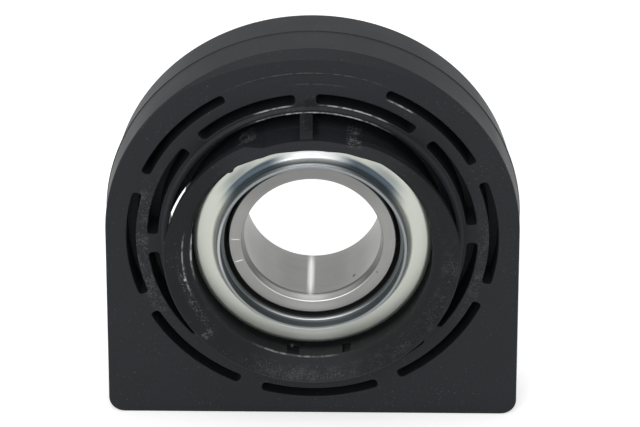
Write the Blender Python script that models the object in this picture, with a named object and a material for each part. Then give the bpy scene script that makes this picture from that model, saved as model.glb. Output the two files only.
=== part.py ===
"""Driveshaft centre bearing: a sealed ball bearing in a horseshoe-shaped rubber cushion.

The shaft axis runs along Y, the front faces -Y, and the flat base rests on Z = 0.
"""
import math

import bmesh
import bpy

MM = 0.001

# Cushion block
SIDE_BAND = 10.1 * MM
BASE_BAND = 9.5 * MM
BLOCK_DEPTH = 37.8 * MM
CROWN_RISE = 3.5 * MM
FOOT_RADIUS = 7.5 * MM
EDGE_ROUND = 0.6 * MM
REAR_ROUND = 2.4 * MM
EDGE_EASE = 0.3
REAR_DRAFT = 2.2 * MM
REAR_LIFT = 1.9 * MM
SEAM_WIDTH = 0.7 * MM
SEAM_HEIGHT = 0.35 * MM
BEVEL_SWELL = 16.7 * MM
BEVEL_TOP_DROP = 5.1 * MM
BEVEL_DEPTH = 2.1 * MM
BEVEL_SPREAD = 44.0

# Ball bearing
BORE_R = 32.5 * MM
BORE_LEAD = 1.15 * MM
BORE_LEAD_LENGTH = 4.9 * MM
BORE_TAIL = 0.3 * MM
BALL_R = 7.144 * MM
BALL_COUNT = 11
INNER_RING_WALL = 7.7 * MM
LAND_OFFSET = 5.3 * MM
OUTER_RING_WALL = 4.2 * MM
INNER_RING_WIDTH = 41.0 * MM
OUTER_RING_WIDTH = 25.0 * MM
RING_CHAMFER = 0.7 * MM
RACE_GAP = 0.3 * MM

# Riveted ribbon cage
CAGE_SHEET = 1.2 * MM
CAGE_WIDTH = 6.4 * MM
CAGE_POCKET_GAP = 0.36 * MM
RIVET_R = 1.0 * MM
RIVET_HEAD_R = 2.0 * MM
RIVET_HEAD = 0.9 * MM

# Pressed shells and seals
FIT_GAP = 0.3 * MM
SHELL_SHEET = 1.7 * MM
SHELL_PROUD = 1.2 * MM
SHELL_BEND = 1.0 * MM
NECK_GAP = 1.8 * MM
NECK_WALL = 3.2 * MM
NECK_REACH = 6.4 * MM
NECK_RIM = 1.6 * MM
RIM_ROUND = 0.4 * MM
NECK_FILLET = 3.3 * MM
SEAL_SHEET = 3.0 * MM
SEAL_LIP = 1.0 * MM

# Cushion hub: boss, flange, groove and web
LIP_TUCK = 0.3 * MM
LIP_AHEAD = 11.3 * MM
BOSS_WALL = 5.3 * MM
BOSS_REAR_WALL = 2.2 * MM
FLANGE_WIDTH = 8.4 * MM
FLANGE_THICKNESS = 4.0 * MM
FLANGE_SLOPE = 1.4 * MM
COLLAR_REACH = 2.9 * MM
GROOVE_WIDTH = 6.1 * MM
GROOVE_FLOOR = 12.0 * MM
GROOVE_DRAFT = 0.7 * MM
BOSS_TAPER = 1.4 * MM
WEB_BEAD = 1.0 * MM
HUB_OVERLAP = 4.8 * MM
RIB_WIDTH = 6.0 * MM
RIB_ANGLES = (90.0, 210.0, 330.0)
GUSSET_ANGLE = 90.0
FLANGE_OPENING_SPAN = 37.5
FLANGE_RAMP = 7.0
LEFT_TRIM_START = 4.4 * MM
LEFT_TRIM_FINISH = 6.4 * MM
LEFT_TRIM_END = 166.0
LEFT_TRIM_RETURN = 10.0
RIGHT_TRIM_START = 2.4 * MM
RIGHT_TRIM_END = -5.0
WEB_HOLE_START = 157.5
WEB_HOLE_FULL = 177.5
WEB_HOLE_END = 194.0
WEB_HOLE_SKIM = 0.2 * MM
WEB_HOLE_TIP = 0.3 * MM
RIB_SINK = 1.1 * MM
NOTCH_DEPTH = 2.2 * MM
NOTCH_SPANS = ((258.0, 263.7), (284.5, 288.5))
NOTCH_CORNER = 0.4 * MM
NOTCH_SETBACK = 2.0 * MM
NOTCH_SILL = 1.5 * MM

# Slots, all turned a little out of the upright
PATTERN_TURN = 2.4
SLOT_PITCH = 45.0
SLOT_SPAN = 37.5
INNER_SLOT_OFFSET = 4.7 * MM
INNER_SLOT_WIDTH = 5.1 * MM
SLOT_BAND = 5.6 * MM
OUTER_SLOT_WIDTH = 4.4 * MM
SLOT_CORNER = 1.7 * MM
SLOT_SKIN = 4.0 * MM
RECESS_DEPTH = 1.0 * MM
RECESS_RISE = 1.3 * MM
RECESS_SPAN = 50.0
RECESS_FADE = 9.0
RECESS_LIP = 0.15 * MM

RING_STEPS = 40
HUB_STEPS = 60
CROWN_STEPS = 48
FOOT_STEPS = 5
HOLE_STEPS = 10
RIVET_STEPS = 8
TRIM_STEPS = 5
RECESS_STEPS = 12

# Sizes worked out from the ones above
BLOCK_HALF = BLOCK_DEPTH / 2
RING_HALF = INNER_RING_WIDTH / 2
OUTER_HALF = OUTER_RING_WIDTH / 2
GROOVE_R = BALL_R + RACE_GAP
INNER_LAND_R = BORE_R + INNER_RING_WALL
PITCH_R = INNER_LAND_R + LAND_OFFSET
OUTER_LAND_R = PITCH_R + LAND_OFFSET
OUTER_RING_R = OUTER_LAND_R + OUTER_RING_WALL
SHELL_BORE_R = OUTER_RING_R + FIT_GAP
SHELL_R = SHELL_BORE_R + SHELL_SHEET
SHELL_FACE = RING_HALF + SHELL_PROUD
NECK_BORE_R = INNER_LAND_R + NECK_GAP
CUSHION_BORE_R = SHELL_R + FIT_GAP
LIP_Y = SHELL_FACE + LIP_AHEAD
CREASE_R = CUSHION_BORE_R + BOSS_WALL
FLANGE_R = CREASE_R + FLANGE_WIDTH
GROOVE_OUTER_R = CREASE_R + GROOVE_WIDTH
HUB_R = GROOVE_OUTER_R + HUB_OVERLAP
INNER_SLOT_R = GROOVE_OUTER_R + INNER_SLOT_OFFSET
OUTER_SLOT_R = INNER_SLOT_R + INNER_SLOT_WIDTH + SLOT_BAND
SLOTS_END_R = OUTER_SLOT_R + OUTER_SLOT_WIDTH
BLOCK_HALF_WIDTH = SLOTS_END_R + SIDE_BAND
AXIS_HEIGHT = SLOTS_END_R + BASE_BAND
BEVEL_RADIUS = BLOCK_HALF_WIDTH + BEVEL_SWELL


def clear_scene():
    """Remove every object of the scene."""
    for item in list(bpy.data.objects):
        bpy.data.objects.remove(item, do_unlink=True)


def make_material(name, colour, roughness, metallic):
    """Return a Principled material with one colour."""
    material = bpy.data.materials.new(name)
    material.use_nodes = True
    shader = material.node_tree.nodes["Principled BSDF"]
    shader.inputs["Base Color"].default_value = (*colour, 1.0)
    shader.inputs["Roughness"].default_value = roughness
    shader.inputs["Metallic"].default_value = metallic
    return material


def make_axis(name):
    """Return an empty on the bearing axis, which the turning pieces hang from."""
    axis = bpy.data.objects.new(name, None)
    bpy.context.scene.collection.objects.link(axis)
    axis.location = (0.0, 0.0, AXIS_HEIGHT)
    return axis


def make_object(name, bm, material, parent, location=(0.0, 0.0, 0.0)):
    """Turn a bmesh into a smooth-shaded object placed from the bearing axis."""
    bmesh.ops.recalc_face_normals(bm, faces=bm.faces)
    mesh = bpy.data.meshes.new(name)
    bm.to_mesh(mesh)
    bm.free()
    mesh.materials.append(material)
    mesh.shade_smooth()
    mesh.set_sharp_from_angle(angle=math.radians(30.0))
    item = bpy.data.objects.new(name, mesh)
    bpy.context.scene.collection.objects.link(item)
    item.parent = parent
    item.location = location
    return item


def hide_tool(item):
    """Mark an object as a cutter or a joined-in form that isn't a piece itself."""
    item.hide_render = True
    item.display_type = "WIRE"
    return item


def combine(target, tool, operation):
    """Add an exact Boolean modifier that joins or cuts the target with the tool."""
    modifier = target.modifiers.new(tool.name, "BOOLEAN")
    modifier.operation = operation
    modifier.solver = "EXACT"
    modifier.object = hide_tool(tool)


def polar(radius, degrees, y):
    """Return a point at a radius and angle round the bearing axis."""
    turn = math.radians(degrees)
    return (radius * math.cos(turn), y, radius * math.sin(turn))


def arc(centre_r, centre_y, radius, start, end, steps):
    """Return profile points on an arc, in degrees from the outward direction."""
    points = []
    for step in range(steps + 1):
        turn = math.radians(start + (end - start) * step / steps)
        points.append((centre_r + radius * math.cos(turn), centre_y + radius * math.sin(turn)))
    return points


def spin_profile(bm, profile, steps, start=0.0, sweep=360.0, closed=True, centre_z=0.0):
    """Spin a profile of (radius, y) points about the Y axis."""
    turn = math.radians(start)
    verts = []
    for radius, y in profile:
        verts.append(bm.verts.new((radius * math.cos(turn), y, centre_z + radius * math.sin(turn))))
    edges = [bm.edges.new(pair) for pair in zip(verts, verts[1:])]
    if closed:
        edges.append(bm.edges.new((verts[-1], verts[0])))
    full = sweep >= 360.0
    end_cap = []
    if not full:
        end_cap = [bm.faces.new(verts)]
    bmesh.ops.spin(bm, geom=verts + edges + end_cap, cent=(0.0, 0.0, centre_z), axis=(0.0, -1.0, 0.0),
                   angle=math.radians(sweep), steps=steps, use_merge=full, use_duplicate=False)
    bmesh.ops.remove_doubles(bm, verts=bm.verts, dist=0.000001)


def spun(name, profile, material, parent, steps=RING_STEPS, closed=True):
    """Return a turned piece from its profile."""
    bm = bmesh.new()
    spin_profile(bm, profile, steps, closed=closed)
    return make_object(name, bm, material, parent)


def mirrored(profile):
    """Return the rear twin of a front profile."""
    return [(radius, -y) for radius, y in profile]


def extrude_outline(bm, outline, near_y, far_y):
    """Extrude an outline of (x, z) points along Y."""
    face = bm.faces.new([bm.verts.new((x, near_y, z)) for x, z in outline])
    grown = bmesh.ops.extrude_face_region(bm, geom=[face])
    moved = [part for part in grown["geom"] if isinstance(part, bmesh.types.BMVert)]
    bmesh.ops.translate(bm, vec=(0.0, far_y - near_y, 0.0), verts=moved)


def skin_loops(bm, loops):
    """Join neighbouring loops of vertices by faces and close both ends."""
    for near, far in zip(loops, loops[1:]):
        count = len(near)
        for index in range(count):
            follower = (index + 1) % count
            bm.faces.new((near[index], near[follower], far[follower], far[index]))
    bm.faces.new(loops[0])
    bm.faces.new(list(reversed(loops[-1])))


def sector_outline(low_r, high_r, start, end, corner, steps):
    """Return a curved slot's outline in X and Z, from one end angle to the other, corners eased."""
    points = []
    for radius, side, near, far in ((low_r, 1.0, start, end), (high_r, -1.0, end, start)):
        inset = math.degrees(corner / radius) * side
        points.append(polar(radius + side * corner, near, 0.0)[::2])
        for step in range(steps + 1):
            angle = near + inset + (far - near - 2 * inset) * step / steps
            points.append(polar(radius, angle, 0.0)[::2])
        points.append(polar(radius + side * corner, far, 0.0)[::2])
    return points


def block_outline(side_inset, base_inset, lift):
    """Return the horseshoe outline, drawn in at the sides and base, with its crown lifted."""
    half = BLOCK_HALF_WIDTH - side_inset
    foot_z = -AXIS_HEIGHT + base_inset + FOOT_RADIUS
    foot_x = half - FOOT_RADIUS
    crown_z = CROWN_RISE + lift
    right_foot = []
    for step in range(FOOT_STEPS + 1):
        turn = math.radians(-90.0 + 90.0 * step / FOOT_STEPS)
        right_foot.append((foot_x + FOOT_RADIUS * math.cos(turn), foot_z + FOOT_RADIUS * math.sin(turn)))
    left_foot = [(-x, z) for x, z in reversed(right_foot)]
    crown = []
    for step in range(CROWN_STEPS + 1):
        turn = math.pi * step / CROWN_STEPS
        crown.append((half * math.cos(turn), crown_z + half * math.sin(turn)))
    return right_foot + crown + left_foot


def make_block(material, parent):
    """Return the horseshoe block as a loft of outlines from front to rear."""
    near = EDGE_EASE * EDGE_ROUND
    far = EDGE_EASE * REAR_ROUND
    sections = (
        (-BLOCK_HALF, EDGE_ROUND, EDGE_ROUND, 0.0),
        (-BLOCK_HALF + near, near, near, 0.0),
        (-BLOCK_HALF + EDGE_ROUND, 0.0, 0.0, 0.0),
        (-SEAM_WIDTH / 2, 0.0, 0.0, 0.0),
        (0.0, -SEAM_HEIGHT, 0.0, 0.0),
        (SEAM_WIDTH / 2, 0.0, 0.0, 0.0),
        (BLOCK_HALF - REAR_ROUND, REAR_DRAFT, 0.0, REAR_LIFT),
        (BLOCK_HALF - far, REAR_DRAFT + far, near, REAR_LIFT),
        (BLOCK_HALF, REAR_DRAFT + REAR_ROUND, EDGE_ROUND, REAR_LIFT),
    )
    bm = bmesh.new()
    loops = []
    for y, side_inset, base_inset, lift in sections:
        outline = block_outline(side_inset, base_inset, lift)
        loops.append([bm.verts.new((x, y, z)) for x, z in outline])
    skin_loops(bm, loops)
    return make_object("rubber_cushion", bm, material, parent)


def hub_profile():
    """Return the section of boss, flange, groove and web rim, from the bore outwards."""
    lip_r = CUSHION_BORE_R - LIP_TUCK
    wall_r = CUSHION_BORE_R + 2 * LIP_TUCK
    crease_y = LIP_Y + FLANGE_SLOPE
    flange_y = crease_y + FLANGE_SLOPE * 0.85
    floor = GROOVE_FLOOR / 2
    rear_r = CUSHION_BORE_R + BOSS_REAR_WALL
    collar_y = SHELL_FACE + COLLAR_REACH
    bead_y = BLOCK_HALF + WEB_BEAD
    rim = FLANGE_THICKNESS / 4
    return [
        (CUSHION_BORE_R, collar_y - rim),
        (CUSHION_BORE_R, -SHELL_FACE),
        (wall_r, -SHELL_FACE - rim),
        (wall_r, -LIP_Y + 2 * rim),
        (lip_r, -LIP_Y + 0.8 * rim),
        (lip_r, -LIP_Y),
        (lip_r + 0.5 * rim, -LIP_Y - 0.3 * rim),
        (CREASE_R, -crease_y),
        (FLANGE_R - 1.6 * rim, -flange_y),
        (FLANGE_R - 0.4 * rim, -flange_y + 0.4 * rim),
        (FLANGE_R, -flange_y + 1.6 * rim),
        (FLANGE_R - 0.8 * rim, -flange_y + 2.8 * rim),
        (FLANGE_R - 3.0 * rim, -flange_y + FLANGE_THICKNESS),
        (CREASE_R + 1.4 * rim, -flange_y + 1.5 * FLANGE_THICKNESS),
        (CREASE_R, -flange_y + 2.0 * FLANGE_THICKNESS),
        (CREASE_R, -floor - 2 * rim),
        (CREASE_R, -floor),
        (GROOVE_OUTER_R, -floor),
        (GROOVE_OUTER_R, -BLOCK_HALF + 0.8 * rim),
        (GROOVE_OUTER_R + 0.5 * rim, -BLOCK_HALF - 0.7 * WEB_BEAD),
        (GROOVE_OUTER_R + 1.6 * rim, -bead_y),
        (GROOVE_OUTER_R + 2.8 * rim, -BLOCK_HALF - 0.5 * WEB_BEAD),
        (HUB_R, -BLOCK_HALF + WEB_BEAD),
        (HUB_R, BLOCK_HALF - WEB_BEAD),
        (GROOVE_OUTER_R + 2.8 * rim, BLOCK_HALF + 0.5 * WEB_BEAD),
        (GROOVE_OUTER_R + GROOVE_DRAFT + rim, BLOCK_HALF + 0.5 * WEB_BEAD),
        (GROOVE_OUTER_R + GROOVE_DRAFT, BLOCK_HALF - 0.8 * rim),
        (GROOVE_OUTER_R, floor),
        (CREASE_R - BOSS_TAPER, floor),
        (rear_r, BLOCK_HALF),
        (rear_r, collar_y - rim),
        (rear_r - 0.7 * rim, collar_y),
        (CUSHION_BORE_R + 0.4 * rim, collar_y),
    ]


def make_hub(material, parent):
    """Return the turned hub that is joined into the block."""
    bm = bmesh.new()
    spin_profile(bm, hub_profile(), HUB_STEPS)
    return make_object("hub_form", bm, material, parent)


def make_hub_seat(parent):
    """Return the round tool that clears the block where the hub goes."""
    seat_r = GROOVE_OUTER_R + HUB_OVERLAP / 2
    reach = BLOCK_HALF * 2
    profile = [(0.0, -reach), (seat_r, -reach), (seat_r, reach), (0.0, reach)]
    bm = bmesh.new()
    spin_profile(bm, profile, HUB_STEPS, closed=False)
    return make_object("hub_seat_tool", bm, None, parent)


def make_crown_bevel(parent):
    """Return the tool for the crescent bevel on the front edge of the crown."""
    centre_z = CROWN_RISE + BLOCK_HALF_WIDTH - BEVEL_TOP_DROP - BEVEL_RADIUS
    slope = BEVEL_DEPTH / BEVEL_TOP_DROP
    near_y = -BLOCK_HALF - BEVEL_DEPTH
    far_y = -BLOCK_HALF + 4 * BEVEL_DEPTH
    near_r = BEVEL_RADIUS + (near_y + BLOCK_HALF) / slope
    far_r = BEVEL_RADIUS + (far_y + BLOCK_HALF) / slope
    outer_r = far_r + BEVEL_TOP_DROP
    profile = [(near_r, near_y), (outer_r, near_y), (outer_r, far_y), (far_r, far_y)]
    start = 90.0 - BEVEL_SPREAD
    bm = bmesh.new()
    spin_profile(bm, profile, CROWN_STEPS, start=start, sweep=2 * BEVEL_SPREAD, centre_z=centre_z)
    return make_object("crown_bevel_tool", bm, None, parent)


def make_slots(parent):
    """Return one tool for both staggered rings of slots, from the front and from the rear."""
    inner_high = INNER_SLOT_R + INNER_SLOT_WIDTH
    rings = (
        (INNER_SLOT_R, inner_high, [SLOT_PITCH * (step + 0.5) for step in range(8)]),
        (OUTER_SLOT_R, SLOTS_END_R, [SLOT_PITCH * step for step in range(8) if step != 2]),
    )
    reach = BLOCK_HALF + 4 * SLOT_SKIN
    bm = bmesh.new()
    for low_r, high_r, centres in rings:
        for centre in centres:
            start = centre + PATTERN_TURN - SLOT_SPAN / 2
            outline = sector_outline(low_r, high_r, start, start + SLOT_SPAN, SLOT_CORNER, 4)
            extrude_outline(bm, outline, -reach, -SLOT_SKIN / 2)
            extrude_outline(bm, outline, SLOT_SKIN / 2, reach)
    return make_object("slot_tool", bm, None, parent)


def recess_depth(degrees, start, end):
    """Return the recess's depth at an angle, fading out just above the face at both ends."""
    inside = min(degrees - start, end - degrees)
    share = min(max(inside / RECESS_FADE, 0.0), 1.0)
    return share * (RECESS_DEPTH + RECESS_LIP) - RECESS_LIP


def make_crown_recess(parent):
    """Return the tool for the shallow recess in place of the topmost outer slot, deepest at its top."""
    high_r = SLOTS_END_R + RECESS_RISE
    front_y = -BLOCK_HALF - 4 * RECESS_DEPTH
    start = 90.0 + PATTERN_TURN - RECESS_SPAN / 2
    end = start + RECESS_SPAN
    bm = bmesh.new()
    loops = []
    for step in range(RECESS_STEPS + 1):
        degrees = start + RECESS_SPAN * step / RECESS_STEPS
        floor_y = -BLOCK_HALF + recess_depth(degrees, start, end)
        section = ((OUTER_SLOT_R, -BLOCK_HALF - RECESS_LIP), (high_r, floor_y), (high_r, front_y),
                   (OUTER_SLOT_R, front_y))
        loops.append([bm.verts.new(polar(radius, degrees, y)) for radius, y in section])
    skin_loops(bm, loops)
    return make_object("crown_recess_tool", bm, None, parent)


def sweep_outline(from_r, to_r, from_angle, to_angle, steps):
    """Return points whose radius and angle both run evenly from one end to the other."""
    points = []
    for step in range(steps + 1):
        share = step / steps
        place = polar(from_r + (to_r - from_r) * share, from_angle + (to_angle - from_angle) * share, 0.0)
        points.append((place[0], place[2]))
    return points


def flange_trim_outline():
    """Return the outline above the boss: a full opening, then rims that grow back to their radius."""
    right_open = 90.0 + PATTERN_TURN - FLANGE_OPENING_SPAN / 2
    left_open = right_open + FLANGE_OPENING_SPAN
    low_r = CREASE_R - FIT_GAP
    right_r = CREASE_R + RIGHT_TRIM_START
    left_r = CREASE_R + LEFT_TRIM_START
    finish_r = CREASE_R + LEFT_TRIM_FINISH
    left_end = LEFT_TRIM_END + LEFT_TRIM_RETURN
    end_r = FLANGE_R + FIT_GAP
    outer_r = FLANGE_R + FLANGE_WIDTH
    points = sweep_outline(end_r, right_r, RIGHT_TRIM_END, right_open - FLANGE_RAMP, 2 * TRIM_STEPS)
    points += sweep_outline(low_r, low_r, right_open, left_open, TRIM_STEPS)
    points += sweep_outline(left_r, finish_r, left_open + FLANGE_RAMP, LEFT_TRIM_END, 2 * TRIM_STEPS)
    points += sweep_outline(end_r, outer_r, left_end, left_end, 1)
    points += sweep_outline(outer_r, outer_r, left_end - FLANGE_RAMP, RIGHT_TRIM_END, 3 * TRIM_STEPS)
    return points


def make_flange_opening(parent):
    """Return the tool that opens and trims the flange above the boss."""
    bm = bmesh.new()
    extrude_outline(bm, flange_trim_outline(), -LIP_Y - 2 * FLANGE_WIDTH, -BLOCK_HALF - 2 * WEB_BEAD)
    return make_object("flange_opening_tool", bm, None, parent)


def make_web_hole(parent):
    """Return the tool for the crescent-shaped opening in the groove floor at the left."""
    reach = GROOVE_FLOOR / 2 + 2 * WEB_HOLE_SKIM
    low_r = CREASE_R - WEB_HOLE_SKIM
    high_r = GROOVE_OUTER_R + WEB_HOLE_SKIM
    outline = sweep_outline(low_r, low_r, WEB_HOLE_START, WEB_HOLE_END, HOLE_STEPS)
    outline += sweep_outline(high_r, high_r, WEB_HOLE_END, WEB_HOLE_FULL, HOLE_STEPS // 2)
    outline += sweep_outline(high_r, low_r + WEB_HOLE_TIP, WEB_HOLE_FULL, WEB_HOLE_START, HOLE_STEPS // 2)
    tidy = [point for point, follower in zip(outline, outline[1:] + outline[:1]) if point != follower]
    bm = bmesh.new()
    extrude_outline(bm, tidy, -reach, reach)
    return make_object("web_hole_tool", bm, None, parent)


def add_rib(bm, degrees, outline):
    """Add a flat rib whose outline of (radius, y) points stands across the groove."""
    turn = math.radians(degrees)
    out_x, out_z = math.cos(turn), math.sin(turn)
    half = RIB_WIDTH / 2
    near = [bm.verts.new((r * out_x - half * out_z, y, r * out_z + half * out_x)) for r, y in outline]
    face = bm.faces.new(near)
    grown = bmesh.ops.extrude_face_region(bm, geom=[face])
    moved = [part for part in grown["geom"] if isinstance(part, bmesh.types.BMVert)]
    bmesh.ops.translate(bm, vec=(2 * half * out_z, 0.0, -2 * half * out_x), verts=moved)


def make_ribs(parent):
    """Return the ribs that bridge the groove, the top one running forward as a gusset."""
    high_r = GROOVE_OUTER_R + RIB_SINK
    low_front = CREASE_R - RIB_SINK
    low_rear = CUSHION_BORE_R + BOSS_REAR_WALL - RIB_SINK
    start_y = GROOVE_FLOOR / 2 - RIB_SINK
    rib_y = BLOCK_HALF - 3 * WEB_BEAD
    gusset = [(low_front, -start_y), (high_r, -start_y), (high_r, -BLOCK_HALF + 2 * WEB_BEAD),
              (CREASE_R + RIB_SINK / 2, -LIP_Y), (low_front, -LIP_Y - FIT_GAP)]
    front = [(low_front, -start_y), (high_r, -start_y), (high_r, -rib_y), (low_front, -rib_y)]
    rear = [(low_rear, start_y), (high_r, start_y), (high_r, rib_y), (low_rear, rib_y)]
    bm = bmesh.new()
    for place in RIB_ANGLES:
        add_rib(bm, place + PATTERN_TURN, gusset if place == GUSSET_ANGLE else front)
        add_rib(bm, place + PATTERN_TURN, rear)
    return make_object("rib_form", bm, None, parent)


def make_lip_notches(parent):
    """Return the tool for the two notches beside the pad inside the lip, low down."""
    low_r = CUSHION_BORE_R - NOTCH_DEPTH
    high_r = CUSHION_BORE_R + 2 * LIP_TUCK + NOTCH_DEPTH
    bm = bmesh.new()
    for start, end in NOTCH_SPANS:
        outline = sector_outline(low_r, high_r, start, end, NOTCH_CORNER, 2)
        extrude_outline(bm, outline, -LIP_Y + NOTCH_SETBACK, -SHELL_FACE - NOTCH_SILL)
    return make_object("lip_notch_tool", bm, None, parent)


def make_cushion(material, parent):
    """Model the one-piece rubber cushion."""
    cushion = make_block(material, parent)
    combine(cushion, make_hub_seat(parent), "DIFFERENCE")
    combine(cushion, make_hub(material, parent), "UNION")
    combine(cushion, make_flange_opening(parent), "DIFFERENCE")
    combine(cushion, make_web_hole(parent), "DIFFERENCE")
    combine(cushion, make_ribs(parent), "UNION")
    combine(cushion, make_slots(parent), "DIFFERENCE")
    combine(cushion, make_crown_recess(parent), "DIFFERENCE")
    combine(cushion, make_crown_bevel(parent), "DIFFERENCE")
    combine(cushion, make_lip_notches(parent), "DIFFERENCE")
    return cushion


def shell_profile():
    """Return the front shell's section: skirt, bend, flat annulus and drawn neck with an inner step."""
    face = -SHELL_FACE
    back = face + SHELL_SHEET
    bend_r = SHELL_R - SHELL_BEND - SHELL_SHEET
    bend_y = back + SHELL_BEND
    neck_out = NECK_BORE_R + NECK_WALL
    tip = face - NECK_REACH
    rim_in = neck_out - NECK_RIM
    step = rim_in - NECK_BORE_R
    profile = [(SHELL_R, -FIT_GAP / 2)]
    profile += arc(bend_r, bend_y, SHELL_BEND + SHELL_SHEET, 0.0, -90.0, 3)
    profile += arc(neck_out + NECK_FILLET, face - NECK_FILLET, NECK_FILLET, 90.0, 180.0, 3)
    profile += [(neck_out, tip + RIM_ROUND), (neck_out - RIM_ROUND, tip)]
    profile += [(rim_in + RIM_ROUND / 2, tip), (rim_in, tip + RIM_ROUND)]
    profile += arc(NECK_BORE_R, face - step, step, 0.0, 90.0, 3)
    profile += [(NECK_BORE_R, back)]
    profile += arc(bend_r, bend_y, SHELL_BEND, -90.0, 0.0, 1)
    profile += [(SHELL_BORE_R, -FIT_GAP / 2)]
    return profile


def seal_profile():
    """Return the front seal's section: a body held in the shell and a lip on the inner ring."""
    front = -(SHELL_FACE - SHELL_SHEET - FIT_GAP)
    rear = -(OUTER_HALF + FIT_GAP)
    out_r = SHELL_BORE_R - FIT_GAP
    chamfer = SHELL_BEND + FIT_GAP
    lip_r = INNER_LAND_R + FIT_GAP
    return [
        (out_r, rear),
        (out_r, front + chamfer),
        (out_r - chamfer, front),
        (NECK_BORE_R + SEAL_LIP, front),
        (lip_r + SEAL_LIP, front + 2 * SEAL_LIP),
        (lip_r, front + 2.6 * SEAL_LIP),
        (lip_r, front + 3.4 * SEAL_LIP),
        (NECK_BORE_R + 3 * SEAL_LIP, front + SEAL_SHEET),
        (out_r - SEAL_SHEET, front + SEAL_SHEET),
        (out_r - SEAL_SHEET, rear),
    ]


def race_arc(outward):
    """Return the race's arc of (radius, y) points, front to rear."""
    half = math.degrees(math.acos(LAND_OFFSET / GROOVE_R))
    if outward:
        return arc(PITCH_R, 0.0, GROOVE_R, -half, half, 6)
    return arc(PITCH_R, 0.0, GROOVE_R, 180.0 + half, 180.0 - half, 6)


def inner_ring_profile():
    """Return the inner ring's section, with a long lead-in at the front of the bore."""
    lead_y = RING_HALF - BORE_LEAD_LENGTH
    profile = [(BORE_R, RING_HALF - BORE_TAIL), (BORE_R, -lead_y), (BORE_R + BORE_LEAD, -RING_HALF)]
    profile += [(INNER_LAND_R - RING_CHAMFER, -RING_HALF), (INNER_LAND_R, -RING_HALF + RING_CHAMFER)]
    profile += race_arc(outward=False)
    profile += [(INNER_LAND_R, RING_HALF - RING_CHAMFER), (INNER_LAND_R - RING_CHAMFER, RING_HALF)]
    profile += [(BORE_R + BORE_TAIL, RING_HALF)]
    return profile


def outer_ring_profile():
    """Return the outer ring's section."""
    profile = [(OUTER_LAND_R, -OUTER_HALF)]
    profile += race_arc(outward=True)
    profile += [(OUTER_LAND_R, OUTER_HALF)]
    profile += [(OUTER_RING_R - RING_CHAMFER, OUTER_HALF), (OUTER_RING_R, OUTER_HALF - RING_CHAMFER)]
    profile += [(OUTER_RING_R, -OUTER_HALF + RING_CHAMFER), (OUTER_RING_R - RING_CHAMFER, -OUTER_HALF)]
    return profile


def cage_stations():
    """Return the ribbon's stations over one ball pitch, each an angle and height on both faces."""
    inner = BALL_R + CAGE_POCKET_GAP
    outer = inner + CAGE_SHEET
    low = FIT_GAP / 2
    high = low + CAGE_SHEET
    inner_start = math.asin(low / inner)
    outer_start = math.asin(high / outer)
    stations = []
    steps = 6
    for step in range(steps + 1):
        share = 1.0 - 2.0 * step / steps
        inner_turn = math.pi / 2 + share * (math.pi / 2 - inner_start)
        outer_turn = math.pi / 2 + share * (math.pi / 2 - outer_start)
        stations.append((inner * math.cos(inner_turn) / PITCH_R, inner * math.sin(inner_turn),
                         outer * math.cos(outer_turn) / PITCH_R, outer * math.sin(outer_turn)))
    stations.append((math.pi / BALL_COUNT, low, math.pi / BALL_COUNT, high))
    return stations


def make_cage(name, side, material, parent, rivet_tool):
    """Return one half of the ribbon cage, waved over the balls and drilled for the rivets."""
    low_r = PITCH_R - CAGE_WIDTH / 2
    high_r = PITCH_R + CAGE_WIDTH / 2
    bm = bmesh.new()
    rings = []
    for ball in range(BALL_COUNT):
        centre = math.pi / 2 + 2 * math.pi * ball / BALL_COUNT
        for inner_turn, inner_y, outer_turn, outer_y in cage_stations():
            ring = []
            for radius, turn, y in ((low_r, inner_turn, inner_y), (high_r, inner_turn, inner_y),
                                    (high_r, outer_turn, outer_y), (low_r, outer_turn, outer_y)):
                place = polar(radius, math.degrees(centre + turn), side * y)
                ring.append(bm.verts.new(place))
            rings.append(ring)
    for near, far in zip(rings, rings[1:] + rings[:1]):
        for index in range(4):
            follower = (index + 1) % 4
            bm.faces.new((near[index], near[follower], far[follower], far[index]))
    cage = make_object(name, bm, material, parent)
    combine(cage, rivet_tool, "DIFFERENCE")
    return cage


def rivet_angle(index):
    """Return the angle halfway between two balls, in degrees."""
    return 90.0 + 360.0 * (index + 0.5) / BALL_COUNT


def make_rivet_tool(parent):
    """Return one tool with a round hole for each rivet."""
    reach = BALL_R
    bm = bmesh.new()
    for index in range(BALL_COUNT):
        x, _, z = polar(PITCH_R, rivet_angle(index), 0.0)
        outline = []
        for step in range(HOLE_STEPS):
            turn = 2 * math.pi * step / HOLE_STEPS
            hole_r = RIVET_R + FIT_GAP
            outline.append((x + hole_r * math.cos(turn), z + hole_r * math.sin(turn)))
        extrude_outline(bm, outline, -reach, reach)
    return make_object("rivet_hole_tool", bm, None, parent)


def make_rivets(material, parent):
    """Place the rivets that hold the cage halves together."""
    seat = FIT_GAP / 2 + CAGE_SHEET + FIT_GAP
    tip = seat + RIVET_HEAD
    profile = [(0.0, -tip), (RIVET_HEAD_R, -seat), (RIVET_R, -seat)]
    profile += [(r, -y) for r, y in reversed(profile)]
    for index in range(BALL_COUNT):
        bm = bmesh.new()
        spin_profile(bm, profile, RIVET_STEPS, closed=False)
        name = f"cage_rivet_{index + 1:02d}"
        make_object(name, bm, material, parent, polar(PITCH_R, rivet_angle(index), 0.0))


def make_balls(material, parent):
    """Place the balls evenly on the pitch circle."""
    for index in range(BALL_COUNT):
        bm = bmesh.new()
        bmesh.ops.create_icosphere(bm, subdivisions=2, radius=BALL_R)
        place = polar(PITCH_R, 90.0 + 360.0 * index / BALL_COUNT, 0.0)
        make_object(f"ball_{index + 1:02d}", bm, material, parent, place)


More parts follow.
